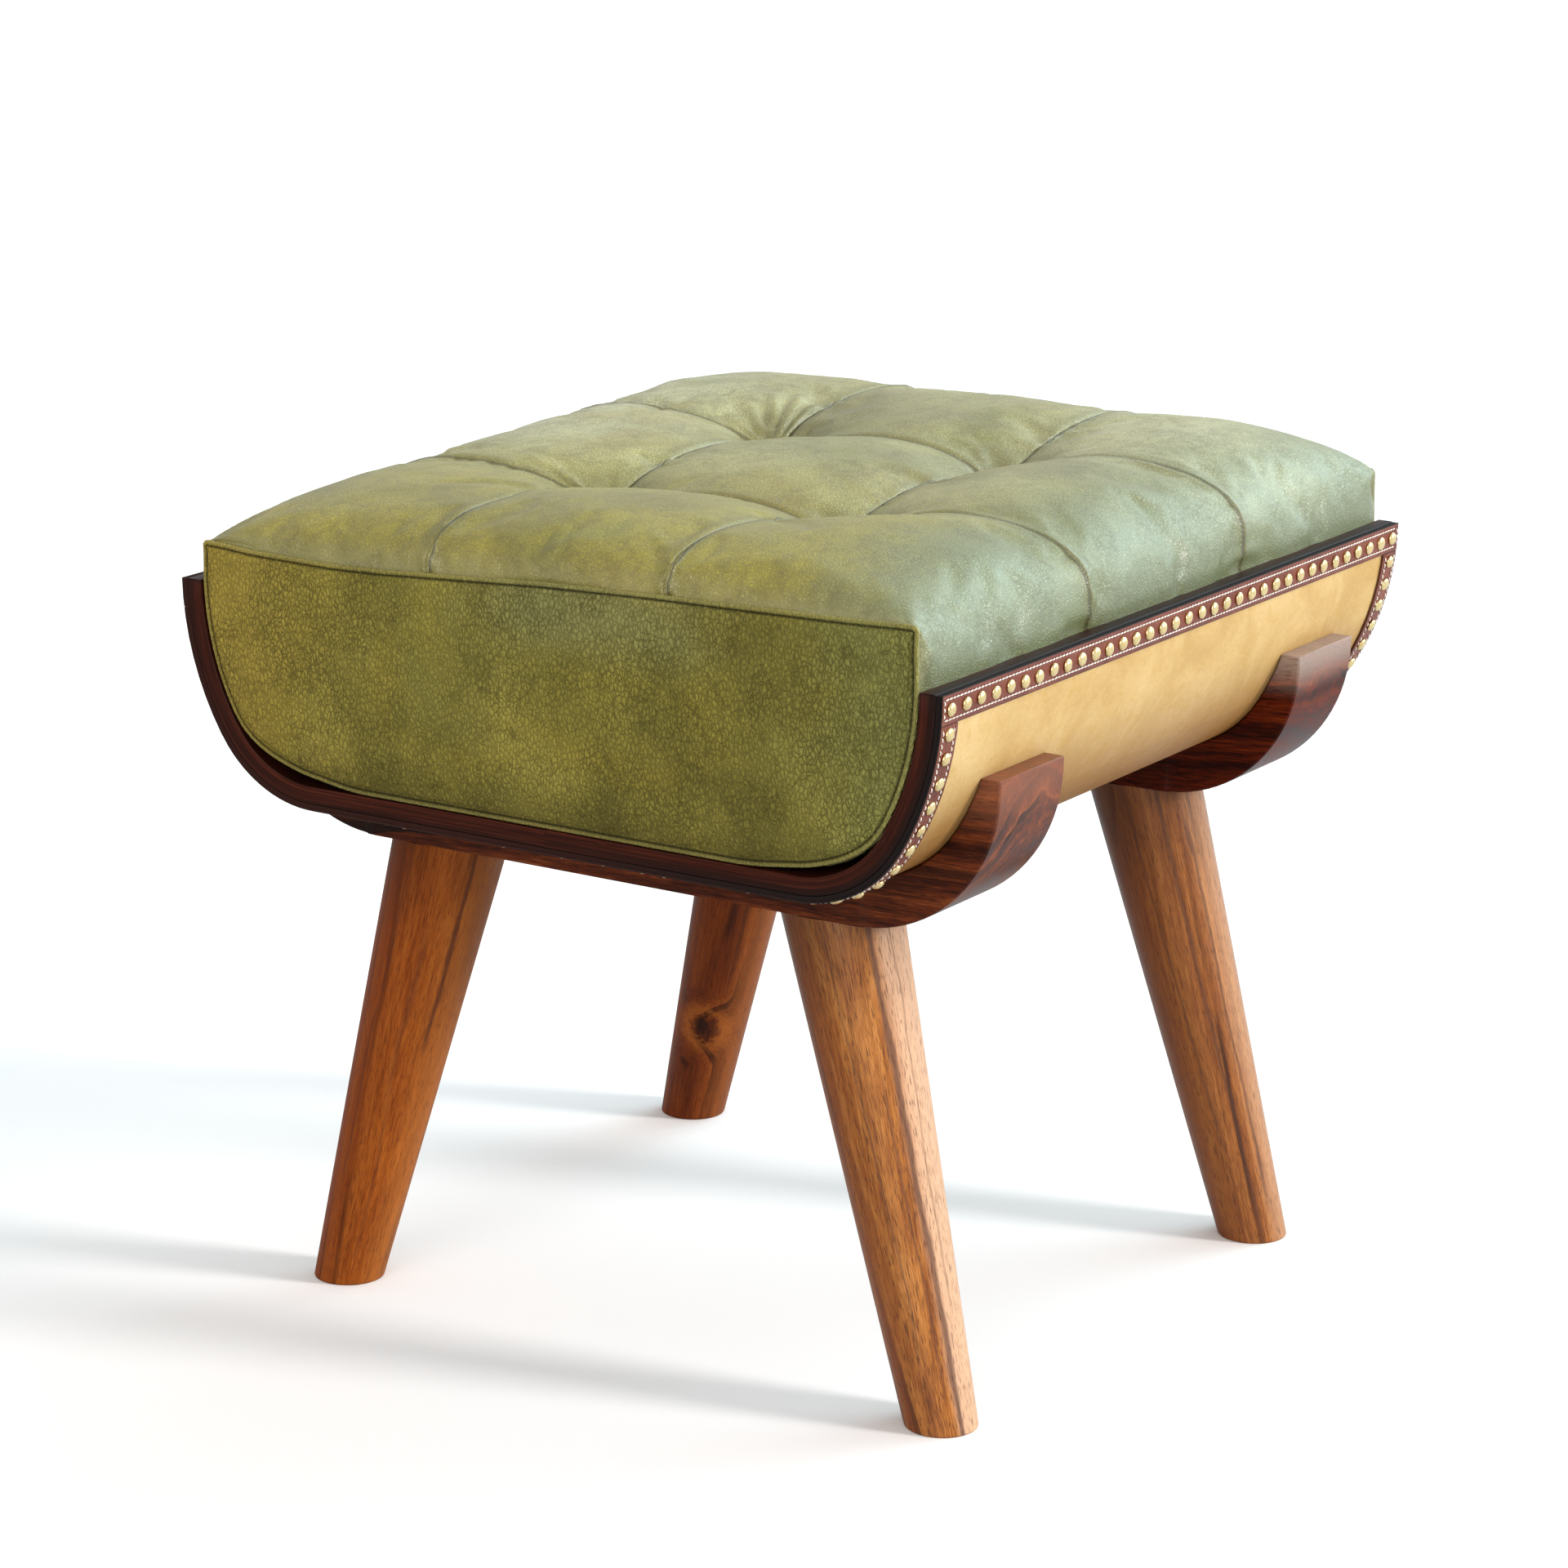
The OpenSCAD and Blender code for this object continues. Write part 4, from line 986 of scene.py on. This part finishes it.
def seam_profile(d):
    """Height of a sewn seam at distance d: a rounded cord, a tight groove on its one side, a shallow dip."""
    ridge = np.exp(-np.abs(d / 1.35) ** 3)
    groove = np.exp(-((d + 2.1) / 0.85) ** 2)
    return 1.9 * ridge - 1.0 * groove - 0.6 * np.exp(-(d / 6.0) ** 2), ridge, groove


# Creases that run from a tuft: (tuft x, tuft y, angle in degrees, start, end, depth, half width)
CREASES = ((-1, 1, 96, 12, 62, 1.5, 2.6), (-1, 1, 109, 10, 74, 1.9, 2.9), (-1, 1, 123, 10, 66, 1.6, 2.8),
           (-1, 1, 139, 12, 52, 1.1, 2.6), (-1, 1, 158, 14, 46, 0.7, 2.6), (-1, -1, 150, 10, 60, 0.7, 2.6),
           (-1, -1, 166, 10, 74, 0.8, 2.8), (-1, -1, 112, 10, 44, 0.5, 2.4), (1, -1, 24, 10, 60, 0.55, 2.6),
           (1, -1, 40, 12, 52, 0.5, 2.6), (1, -1, -28, 12, 50, 0.5, 2.6), (1, 1, 20, 12, 56, 0.6, 2.6),
           (1, 1, 38, 12, 64, 0.6, 2.8), (1, 1, 150, 12, 46, 0.5, 2.4), (-1, -1, -32, 12, 44, 0.5, 2.4),
           (1, -1, 205, 12, 46, 0.5, 2.4), (-1, 1, -40, 12, 40, 0.5, 2.4), (1, 1, -34, 12, 44, 0.5, 2.4))


def seamed(grid, marks):
    """Height over the cover, and how much of each place is a seam's cord and a seam's groove."""
    left_end = marks["left_end"]
    lift, ridge, groove = (np.zeros(grid.shape[:2]) for _ in range(3))
    # Distances along the surface from each seam
    step_c = np.linalg.norm(np.diff(grid[:, :left_end + 1], axis=1), axis=2)
    along_c = np.concatenate([np.zeros((grid.shape[0], 1)), np.cumsum(step_c, axis=1)], axis=1)
    step_r = np.linalg.norm(np.diff(grid, axis=0), axis=2)
    along_r = np.concatenate([np.zeros((1, grid.shape[1])), np.cumsum(step_r, axis=0)], axis=0)
    cover = np.zeros(grid.shape[1])
    cover[:left_end + 1] = 1
    low_fade = smooth(grid[..., 2], 330, 352) * cover[None, :]
    for side in ("right", "left", "front", "back"):
        at = marks[side + "_seam"]
        if side in SEAM_PAIRS[0]:
            d = np.full_like(lift, 99.0)
            d[:, :left_end + 1] = along_c - along_c[:, at:at + 1]
            h, a, b = seam_profile(d)
        else:
            h, a, b = (v * low_fade for v in seam_profile(along_r - along_r[at:at + 1]))
        lift = np.where(np.abs(h) > np.abs(lift), h, lift)
        ridge, groove = np.maximum(ridge, a), np.maximum(groove, b)
    return lift, ridge, groove, cover


def creased(x, y):
    """Height of the creases that run from the tufts, and of the folds over the right-hand roll."""
    crease = np.zeros_like(x)
    bend = value_noise(3, 26)
    for sx, sy, angle, r0, r1, depth, width in CREASES:
        a = math.radians(angle)
        dx, dy = x - sx * SEAM_X, y - sy * SEAM_Y
        u = dx * math.cos(a) + dy * math.sin(a)
        v = -dx * math.sin(a) + dy * math.cos(a) + 2.4 * bend(x + angle, y)
        k = smooth(u, r0 - 6, r0 + 8) * (1 - smooth(u, r1 - 22, r1 + 6))
        wide = width * (0.55 + 0.6 * smooth(u, r0, r1))
        crease += k * depth * (0.55 * np.exp(-((v - 1.9 * wide) / wide) ** 2) - np.exp(-(v / wide) ** 2))
    # A soft fold beside each seam that runs over the right-hand roll
    on_roll = smooth(x, 120, 160) * (1 - smooth(x, 205, 219))
    for sy in (-1, 1):
        d = y - sy * SEAM_Y - 9.0
        crease += (0.4 * np.exp(-((d + 4.2) / 2.6) ** 2) - 0.55 * np.exp(-(d / 2.2) ** 2)) * on_roll
    return crease


def end_panel(ring, marks, which, sign, moves):
    """The grid of an end panel: bulged, moved like the cloth, wrinkled, and puckered below its top edge."""
    g, u, v = coons(ring, marks)
    gx, gz = g[..., 0], g[..., 2]
    bulge = swell(2 * u - 1, 3.4)[None, :] * swell(2 * v - 1, 2.6)[:, None]
    g[..., 1] += sign * 1.5 * bulge
    if moves is not None:
        d, low_u, low_v = moves[which]
        d = cubic_grid(d, low_v, low_u, v, u)
        g[..., 1] += np.clip(sign * d[..., 1] * 0.5, -1, 1.6) * sign
        g[..., 0] += d[..., 0] * 0.4
        g[..., 2] += d[..., 2] * 0.4
    wide, mid, fine = value_noise(31 + which, 42), value_noise(33 + which, 13), value_noise(35 + which, 5.0)
    folds = np.abs(mid(gx + 9 * wide(gx, gz), gz * 1.6))
    wrinkles = 0.55 * wide(gx * 0.7, gz) - 0.42 * (1 - smooth(folds, 0.0, 0.22)) + 0.10 * fine(gx, gz * 1.4)
    puckers = fine(gx * 1.25, gz * 0.18) * smooth(v, 0.72, 0.98)[:, None]
    g[..., 1] += sign * (wrinkles + 0.34 * puckers) * np.minimum(1, bulge * 1.5)
    return g


def build_seat():
    grid, marks, cols, ys = seat_grid(*SHOWN_STEPS)
    panel_moves = None
    low, low_marks, low_cols, low_ys = seat_grid(*CLOTH_STEPS)
    moved, panel_moves = swollen(low, low_marks)
    moved = without_slow(moved[:, :low_marks["left_end"] + 1], SLOW_TURNS)
    grid[:, :marks["left_end"] + 1] += cubic_grid(moved, low_ys, low_cols, ys, cols)
    normals = surface_normals(grid)
    lift, ridge, groove, cover = seamed(grid, marks)
    x, y, z = grid[..., 0], grid[..., 1], grid[..., 2]
    on_top = smooth(z, 396, 412) * cover[None, :]
    slow, fine = value_noise(11, 34), value_noise(12, 9)
    lumps = 0.7 * slow(x, y) + 0.18 * fine(x * 1.3, y)
    lift = lift + (creased(x, y) + lumps * 0.8) * on_top * smooth(SEAT_HD - np.abs(y), 0, 8)
    wear = np.exp(-((SEAT_HD - np.abs(y)) / 3.0) ** 2) * 0.7 * cover[None, :]
    grid = grid + normals * lift[..., None]
    # Rows of the sewn edge at each end, the front's in reverse
    pucker = value_noise(21, 5.5)
    sewn = []
    for sign, ring in ((-1, grid[0]), (1, grid[-1])):
        out = loop_out(ring)
        soft = 1 + 0.12 * pucker(ring[:, 0] * 1.0 + ring[:, 2], ring[:, 2])
        rows = [ring + out * (dn * np.where(dn > 0, soft, 1.0))[:, None] for _, dn, _, _ in EDGE]
        for row, (dy, _, _, _) in zip(rows, EDGE):
            row[:, 1] = sign * (SEAT_HD + dy)
        sewn.append(rows)
    all_rows = np.array(sewn[0][::-1] + list(grid) + sewn[1])
    count, n = all_rows.shape[:2]

    def with_edge(core, values):
        """The values of the cover's rows, with those of the sewn edge's rows before and after them."""
        edge = np.repeat(np.array(values)[:, None], n, axis=1)
        return np.concatenate([edge[::-1], core, edge]).ravel()

    _, _, edge_ridge, edge_groove = zip(*EDGE)
    marked = {"ridge": with_edge(ridge, edge_ridge), "groove": with_edge(groove, edge_groove),
              "wear": with_edge(wear, [0.5 * v for v in edge_ridge])}
    verts, faces = all_rows.reshape(-1, 3), band_faces(count, n)
    cover_faces = len(faces)
    for which, (row, sign) in enumerate(((0, -1), (count - 1, 1))):
        g = end_panel(all_rows[row], marks, which, sign, panel_moves)
        verts = with_panel(verts, faces, g, marks, row * n, sign < 0)
    marked = {key: np.pad(v, (0, len(verts) - len(v))) for key, v in marked.items()}
    seat = piece("seat_cushion", verts, faces, MATS["green_leather"], marked)
    seat.data.materials.append(MATS["green_panel"])
    edge_faces = PANEL_ROWS * n
    index = np.zeros(len(seat.data.polygons), int)
    index[:edge_faces] = index[cover_faces - edge_faces:] = 1
    seat.data.polygons.foreach_set("material_index", index)
    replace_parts(seat, "seat_leather", "front_panel_leather", "back_panel_leather", "front_welt", "back_welt",
                "foam_core")


# Materials
def leg_wood(name, sx, sy, seed, look, **more):
    """Grain along a leg: the X axis of the wood is turned onto the leg's own axis."""
    foot = Vector((sx * (LEG_X + SPLAY_X), sy * (LEG_Y + SPLAY_Y), 0.0))
    axis = (Vector((sx * LEG_X, sy * LEG_Y, LEG_H)) - foot).normalized()
    turn = axis.rotation_difference(Vector((1, 0, 0))).to_euler()
    heart = (34.0 + seed * 9, 48.0 - seed * 23)
    return grain_wood(name, tuple(turn), (-foot.x, -foot.y, 0.0), heart, look, **more)


# Looks of the woods: colours over the grain's tone and the tones they stand at, ring width and waviness,
# pores, dark lines, roughness and gloss; a leg has tints and streaks on its shown side, the tints being
# painted shade on its left and painted light and sheen on its right, and a rail's tips are tinted paler over
# heights as painted light and sheen
LEG = {"stops": (0.34, 0.45, 0.55, 0.68), "ring": 9.0, "warp": 9, "line_amount": 0.8, "rough": (0.34, 0.48),
       "spec": 0.14}
LEFT_LEG = {**LEG, "line_amount": 0.7,
            "colors": ((0.100, 0.018, 0.003), (0.265, 0.056, 0.006), (0.405, 0.102, 0.012),
                       (0.55, 0.172, 0.026)),
            "pore_color": (0.075, 0.016, 0.004), "pore_amount": 0.45, "facing": -153.0,
            "tints": ((-5, -60, 0.7, (0.185, 0.034, 0.006)), (5, 50, 0.35, (0.47, 0.175, 0.040))),
            "streaks": ((26, 32, 1.8, 150, 300, 0.75), (-8, 4, 2.6, 120, 215, 0.35),
                        (-44, -34, 1.4, 60, 290, 0.4), (8, -6, 1.6, 20, 120, 0.35)),
            "streak_color": (0.085, 0.026, 0.014)}
BACK_LEG = {**LEG,
            "colors": ((0.052, 0.010, 0.003), (0.130, 0.024, 0.004), (0.205, 0.043, 0.006),
                       (0.30, 0.074, 0.014)),
            "pore_color": (0.045, 0.010, 0.003), "pore_amount": 0.4, "facing": -148.0,
            "tints": ((0, 50, 0.3, (0.36, 0.13, 0.035)),),
            "streaks": ((-4, 6, 3.0, 130, 300, 0.6), (14, 20, 2.0, 100, 220, 0.4)),
            "streak_color": (0.040, 0.012, 0.006)}
RIGHT_LEG = {**LEG, "stops": (0.36, 0.45, 0.54, 0.64), "ring": 8.0, "warp": 8, "line_amount": 0.9,
             "rough": (0.28, 0.42), "spec": 0.35,
             "colors": ((0.085, 0.020, 0.004), (0.255, 0.072, 0.011), (0.450, 0.158, 0.028),
                        (0.640, 0.270, 0.068)),
             "pore_color": (0.060, 0.016, 0.005), "pore_amount": 0.65, "facing": -147.0,
             "tints": ((-15, -60, 0.65, (0.21, 0.050, 0.012)), (14, 36, 0.85, (0.66, 0.39, 0.235))),
             "streaks": ((30, 18, 2.4, -20, 300, 0.8), (12, 4, 1.2, 20, 180, 0.45),
                         (-14, -24, 1.0, 40, 260, 0.45), (48, 40, 1.0, 60, 300, 0.4)),
             "streak_color": (0.115, 0.045, 0.026)}
BACK_RIGHT_LEG = {**LEG, "warp": 8, "rough": (0.30, 0.44), "spec": 0.3,
                  "colors": ((0.085, 0.022, 0.005), (0.22, 0.062, 0.011), (0.34, 0.112, 0.021),
                             (0.50, 0.200, 0.050)),
                  "pore_color": (0.060, 0.016, 0.005), "pore_amount": 0.55, "facing": -140.0,
                  "tints": ((-10, -55, 0.6, (0.15, 0.036, 0.009)), (15, 50, 0.5, (0.52, 0.28, 0.15))),
                  "streaks": ((10, 2, 2.0, 0, 300, 0.6), (34, 26, 1.8, 30, 240, 0.6),
                              (-22, -30, 1.4, 60, 300, 0.5)),
                  "streak_color": (0.085, 0.030, 0.016)}
RAIL = {"stops": (0.36, 0.45, 0.54, 0.65), "ring": 15.0, "warp": 26, "line_amount": 0.9,
        "rough": (0.28, 0.40), "spec": 0.16, "pore_color": (0.013, 0.0035, 0.002), "pore_amount": 0.4,
        "colors": ((0.009, 0.0020, 0.0012), (0.046, 0.0080, 0.0026), (0.132, 0.025, 0.0056),
                   (0.30, 0.078, 0.020)),
        "tip": (308.0, 337.0, 0.36, (0.42, 0.165, 0.095))}
BACK_RAIL = {**RAIL, "spec": 0.08, "tip": (316.0, 342.0, 0.7, (0.46, 0.330, 0.270)),
             "colors": ((0.008, 0.0014, 0.0008), (0.036, 0.0038, 0.0010), (0.100, 0.0115, 0.0016),
                        (0.22, 0.034, 0.0055))}


MATS = {
    "shell_wood": shell_wood(),
    "green_leather": green_leather("seat_green_leather", TOP_LOOK),
    "green_panel": green_leather("seat_green_panel", PANEL_LOOK),
    "tan_leather": tan_leather(),
    "rim_trim": brown_leather("trim_rim_leather", False),
    "end_trim": brown_leather("trim_end_leather", True),
    "nail_brass": brass("nail_brass_dome", (0.86, 0.67, 0.34), 0.18),
    "insert_brass": brass("insert_brass_turned", (0.66, 0.50, 0.22), 0.32),
    "steel": steel(),
    "twine": thread("linen_twine", (0.70, 0.62, 0.45), (0.52, 0.44, 0.29), 1.6),
    "stitch_thread": thread("stitch_thread", (0.84, 0.77, 0.68), (0.66, 0.55, 0.45)),
    "board_wood": board_wood(),
}
KNOT = ((-165.0, 142.0, 62.0), 11.0)
NODE_MATS = {
    "cradle_shell": MATS["shell_wood"], "outer_leather": MATS["tan_leather"],
    "front_rail": grain_wood("rail_front_rosewood", (0.05, 0.03, 0.05), (0, LEG_Y, -300), (62, -92), RAIL),
    "back_rail": grain_wood("rail_back_rosewood", (-0.04, 0.05, -0.06), (40, -LEG_Y, -290), (-48, -84),
                            BACK_RAIL),
    "leg_front_left": leg_wood("leg_wood_front_left", -1, -1, 0, LEFT_LEG),
    "leg_front_right": leg_wood("leg_wood_front_right", 1, -1, 1, RIGHT_LEG),
    "leg_back_left": leg_wood("leg_wood_back_left", -1, 1, 2, BACK_LEG, knot=KNOT),
    "leg_back_right": leg_wood("leg_wood_back_right", 1, 1, 3, BACK_RIGHT_LEG),
    "leg_inserts": MATS["insert_brass"], "seat_board": MATS["board_wood"], "tuft_ties": MATS["twine"],
}
RIM_TRIMS, END_TRIMS = ("trim_rim_left", "trim_rim_right"), ("trim_front_edge", "trim_back_edge")
STEEL = ("leg_bolts", "rail_screws", "seat_screws", "tuft_washers")
for names, mat in ((RIM_TRIMS, "rim_trim"), (END_TRIMS, "end_trim"), (STEEL, "steel")):
    NODE_MATS.update({name: MATS[mat] for name in names})
for name, mat in NODE_MATS.items():
    for slot in nodes[name].material_slots:
        slot.material = mat


def eased(name, width=0.0, low=(-1e3, -1e3, -1e3), high=(1e3, 1e3, 1e3), outside_y=None):
    """Joins the split corners of a node, shades it smoothly and, given a width, rounds its sharp edges inside
    a box in mm.
    """
    group = bpy.data.node_groups.new("eased_" + name, "GeometryNodeTree")
    for way in ("INPUT", "OUTPUT"):
        group.interface.new_socket("Geometry", in_out=way, socket_type="NodeSocketGeometry")
    t = Tree(group)
    mesh = t.node("NodeGroupInput").outputs[0]
    mesh = t.node("GeometryNodeMergeByDistance", {"Geometry": mesh, "Distance": 2e-6}).outputs[0]
    mesh = t.node("GeometryNodeRemoveAttribute", {"Geometry": mesh, "Name": "custom_normal"}).outputs[0]
    mesh = t.node("GeometryNodeSetShadeSmooth", {"Geometry": mesh}).outputs[0]
    turn = t.node("GeometryNodeInputMeshEdgeAngle").outputs["Unsigned Angle"]
    keep = sharp = t.math("GREATER_THAN", turn, math.radians(32))
    mesh = t.node("GeometryNodeSetShadeSmooth", {"Geometry": mesh, "Selection": sharp, "Shade Smooth": False},
                  domain="EDGE").outputs[0]
    place = t.split(t.node("GeometryNodeInputPosition").outputs[0])
    for value, lowest, highest in zip(place, low, high):
        keep = t.mul(keep, t.math("GREATER_THAN", value, lowest * 0.001))
        keep = t.mul(keep, t.math("LESS_THAN", value, highest * 0.001))
    if outside_y is not None:
        keep = t.mul(keep, t.math("GREATER_THAN", t.abs(place[1]), outside_y * 0.001))
    inputs = {"Geometry": mesh, "Name": "bevel_weight_edge", "Value": keep}
    store = t.node("GeometryNodeStoreNamedAttribute", inputs, data_type="FLOAT", domain="EDGE")
    t.node("NodeGroupOutput", {0: store.outputs[0]})
    modifiers = nodes[name].modifiers
    modifiers.new("eased", "NODES").node_group = group
    if width:
        bevel = modifiers.new("rounded", "BEVEL")
        bevel.width, bevel.segments, bevel.limit_method = width * 0.001, 2, "WEIGHT"
        bevel.use_clamp_overlap = bevel.harden_normals = False


eased("cradle_shell", 0.6, high=(300, 300, 391), outside_y=232.95)
for name in ("outer_leather", *RIM_TRIMS, *END_TRIMS):
    eased(name)
for name in ("front_rail", "back_rail"):
    eased(name, 1.1, low=(-300, -300, 257.5))
for name in ("leg_front_left", "leg_front_right", "leg_back_left", "leg_back_right"):
    eased(name, 0.9, high=(300, 300, 2))

# Pieces
build_seat()
rim_y = [-NAIL_ROW_Y + i * 2 * NAIL_ROW_Y / (RIM_NAILS - 1) for i in range(RIM_NAILS)]
end_s = [NAIL_ROW_S + i * (OUTLINE_LEN - 2 * NAIL_ROW_S) / (END_NAILS + 1) for i in range(1, END_NAILS + 1)]
nail_heads("nail_heads_rim_right", [(NAIL_ROW_S, y) for y in rim_y], "nails_rim_right")
nail_heads("nail_heads_rim_left", [(OUTLINE_LEN - NAIL_ROW_S, y) for y in rim_y], "nails_rim_left")
nail_heads("nail_heads_front", [(s, -NAIL_ROW_Y) for s in end_s], "nails_front_edge")
nail_heads("nail_heads_back", [(s, NAIL_ROW_Y) for s in end_s], "nails_back_edge")

# Stitches: from one to the next, their length, and how far a strip's two rows lie inside its edges
PITCH, STITCH, ROW_IN, ROW_IN_LOW = 3.1, 2.75, 2.3, 3.0
ALONG_Y, HALF_Y = np.array([0.0, 1.0, 0.0]), CRADLE_HD - TRIM_INSET
ROW_END = HALF_Y - ROW_IN
for side, label in ((1, "right"), (-1, "left")):
    rows = []
    for across in (TRIM_INSET + ROW_IN, TRIM_INSET + TRIM_W - ROW_IN_LOW):
        s = across if side > 0 else OUTLINE_LEN - across
        for i in range(int(2 * ROW_END / PITCH)):
            p, n, _ = wrapped(s, -HALF_Y + ROW_IN + PITCH * (i + 0.5), TRIM_FACE)
            rows.append((p, ALONG_Y, n, STITCH))
    for end in (-1, 1):
        for i in range(3):
            s = TRIM_INSET + ROW_IN + PITCH * (i + 0.5)
            s = s if side > 0 else OUTLINE_LEN - s
            p, n, t = wrapped(s, end * (ROW_END + 0.6), TRIM_FACE)
            rows.append((p, t, n, STITCH * 0.85))
    stitches("stitches_rim_" + label, rows)
for side, label in ((-1, "front"), (1, "back")):
    rows = []
    for y in (ROW_END, HALF_Y - TRIM_W + ROW_IN_LOW):
        start = TRIM_INSET + TRIM_W + 1.6
        for i in range(int((OUTLINE_LEN - 2 * start) / PITCH)):
            p, n, t = wrapped(start + PITCH * (i + 0.5), side * y, TRIM_FACE)
            rows.append((p, t, n, STITCH))
    stitches("stitches_edge_" + label, rows)

# Stage, light and camera
# The floor's colours as the light sees it, far from the window and near it, and as the camera does; which way
# the window is, over how many mm the colour changes, the floor's own glow, and half of its side in m
FLOOR_BOUNCE, FLOOR_TONE = ((0.26, 0.245, 0.225), (0.74, 0.74, 0.74)), (0.97, 0.935, 0.912)
FLOOR_BOUNCE_WAY, FLOOR_BOUNCE_REACH, FLOOR_GLOW, FLOOR_SIZE = (0.75, 0.66, 0.0), 900.0, 0.05, 30.0
# Levels of the room's light, where 1 is white, and of a window; directions point towards the light
ROOM_COLOR, ROOM_FRONT_BACK, ROOM_LEFT_RIGHT = (1.0, 0.995, 0.99), (0.62, 0.72), (0.82, 1.0)
WINDOW_WAY, WINDOW_COLOR, WINDOW_SHARP, WINDOW_GAIN = (0.30, 0.83, 0.45), (0.60, 0.87, 1.0), 12.0, 6.0
# How much of the white background shows in mirrors and through glass
MIRROR_WHITE = 0.4
# Lamps: name, way to it, power, colour and how wide it is in degrees
LAMPS = (("key", (0.9, 0.27, 0.42), 2.6, (1.0, 1.0, 1.0), 12),
         ("fill", (0.2, -0.94, 0.28), 1.5, (1.0, 0.99, 0.97), 50))
# Camera: turns in radians, what it looks at and from how far in m, and its lens in mm
YAW, PITCH_DOWN, ROLL = -0.589395, 0.262765, -0.0014515
TARGET, DISTANCE, LENS = Vector((-0.0140, 0.0, 0.2640)), 2.521, 108.143


def stage_floor():
    """Pale floor: white to the camera and to reflections, with the object's shadow kept."""
    m = Mat("floor_paper")
    path = m.node("ShaderNodeLightPath").outputs
    seen = m.most(m.most(path["Is Camera Ray"], path["Is Glossy Ray"]), path["Is Transmission Ray"])
    way = m.vec("DOT_PRODUCT", m.p, FLOOR_BOUNCE_WAY)
    bounce = m.mix(m.step(way, -FLOOR_BOUNCE_REACH, FLOOR_BOUNCE_REACH), *FLOOR_BOUNCE)
    m.set(color=m.mix(path["Is Camera Ray"], bounce, FLOOR_TONE), rough=0.9, spec=0.0)
    glow = m.node("ShaderNodeEmission", {"Color": (1, 1, 1), "Strength": 1.0})
    layers = {0: m.mul(seen, FLOOR_GLOW), 1: m.bsdf.outputs[0], 2: glow.outputs[0]}
    m.link(m.node("ShaderNodeMixShader", layers).outputs[0], m.out.inputs["Surface"])
    mesh = bpy.data.meshes.new("floor")
    corners = [(x * FLOOR_SIZE, y * FLOOR_SIZE, 0) for x, y in ((-1, -1), (1, -1), (1, 1), (-1, 1))]
    mesh.from_pydata(corners, [], [(0, 1, 2, 3)])
    mesh.materials.append(m.mat)
    placed("floor", mesh)


def lights():
    """A pale room, darker in front, a broad cool window behind on the right, and a low lamp on the right."""
    world = bpy.data.worlds.new("studio")
    world.use_nodes = True
    w = Tree(world.node_tree)
    way = w.node("ShaderNodeTexCoord").outputs["Generated"]
    x, y, _ = w.split(way)
    room = w.mul(w.step(y, -0.7, 0.7, *ROOM_FRONT_BACK), w.step(x, -0.8, 0.8, *ROOM_LEFT_RIGHT))
    near = w.most(w.vec("DOT_PRODUCT", way, tuple(Vector(WINDOW_WAY).normalized())), 0.0)
    window = w.mul(w.math("POWER", near, WINDOW_SHARP), WINDOW_GAIN)
    light = w.vec("ADD", w.vec("SCALE", ROOM_COLOR, scale=room), w.vec("SCALE", WINDOW_COLOR, scale=window))
    dim = w.node("ShaderNodeBackground", {"Color": light, "Strength": 1.0})
    white = w.node("ShaderNodeBackground", {"Strength": 1.0})
    path = w.node("ShaderNodeLightPath").outputs
    mirror = w.most(path["Is Glossy Ray"], path["Is Transmission Ray"])
    seen = w.math("MULTIPLY_ADD", mirror, MIRROR_WHITE, path["Is Camera Ray"], clamp=True)
    mix = w.node("ShaderNodeMixShader", {0: seen, 1: dim.outputs[0], 2: white.outputs[0]})
    w.node("ShaderNodeOutputWorld", {"Surface": mix.outputs[0]})
    bpy.context.scene.world = world
    for name, way_to, power, tint, wide in LAMPS:
        data = bpy.data.lights.new(name, "SUN")
        data.energy, data.color, data.angle = power, tint, math.radians(wide)
        placed(name, data).rotation_euler = (-Vector(way_to)).to_track_quat("-Z", "Y").to_euler()


def camera():
    level = math.cos(PITCH_DOWN)
    ahead = Vector((math.sin(YAW) * level, math.cos(YAW) * level, -math.sin(PITCH_DOWN)))
    right = Vector((math.cos(YAW), -math.sin(YAW), 0))
    up = right.cross(ahead)
    right, up = math.cos(ROLL) * right + math.sin(ROLL) * up, math.cos(ROLL) * up - math.sin(ROLL) * right
    data = bpy.data.cameras.new("camera")
    data.lens, data.sensor_width, data.sensor_fit = LENS, 36.0, "HORIZONTAL"
    data.clip_start, data.clip_end = 0.05, 100.0
    obj = placed("camera", data)
    columns = (right, up, -ahead, TARGET - ahead * DISTANCE)
    obj.matrix_world = Matrix((*(tuple(c[i] for c in columns) for i in range(3)), (0, 0, 0, 1)))
    bpy.context.scene.camera = obj


stage_floor()
lights()
camera()
bpy.context.scene.view_settings.view_transform = "Standard"
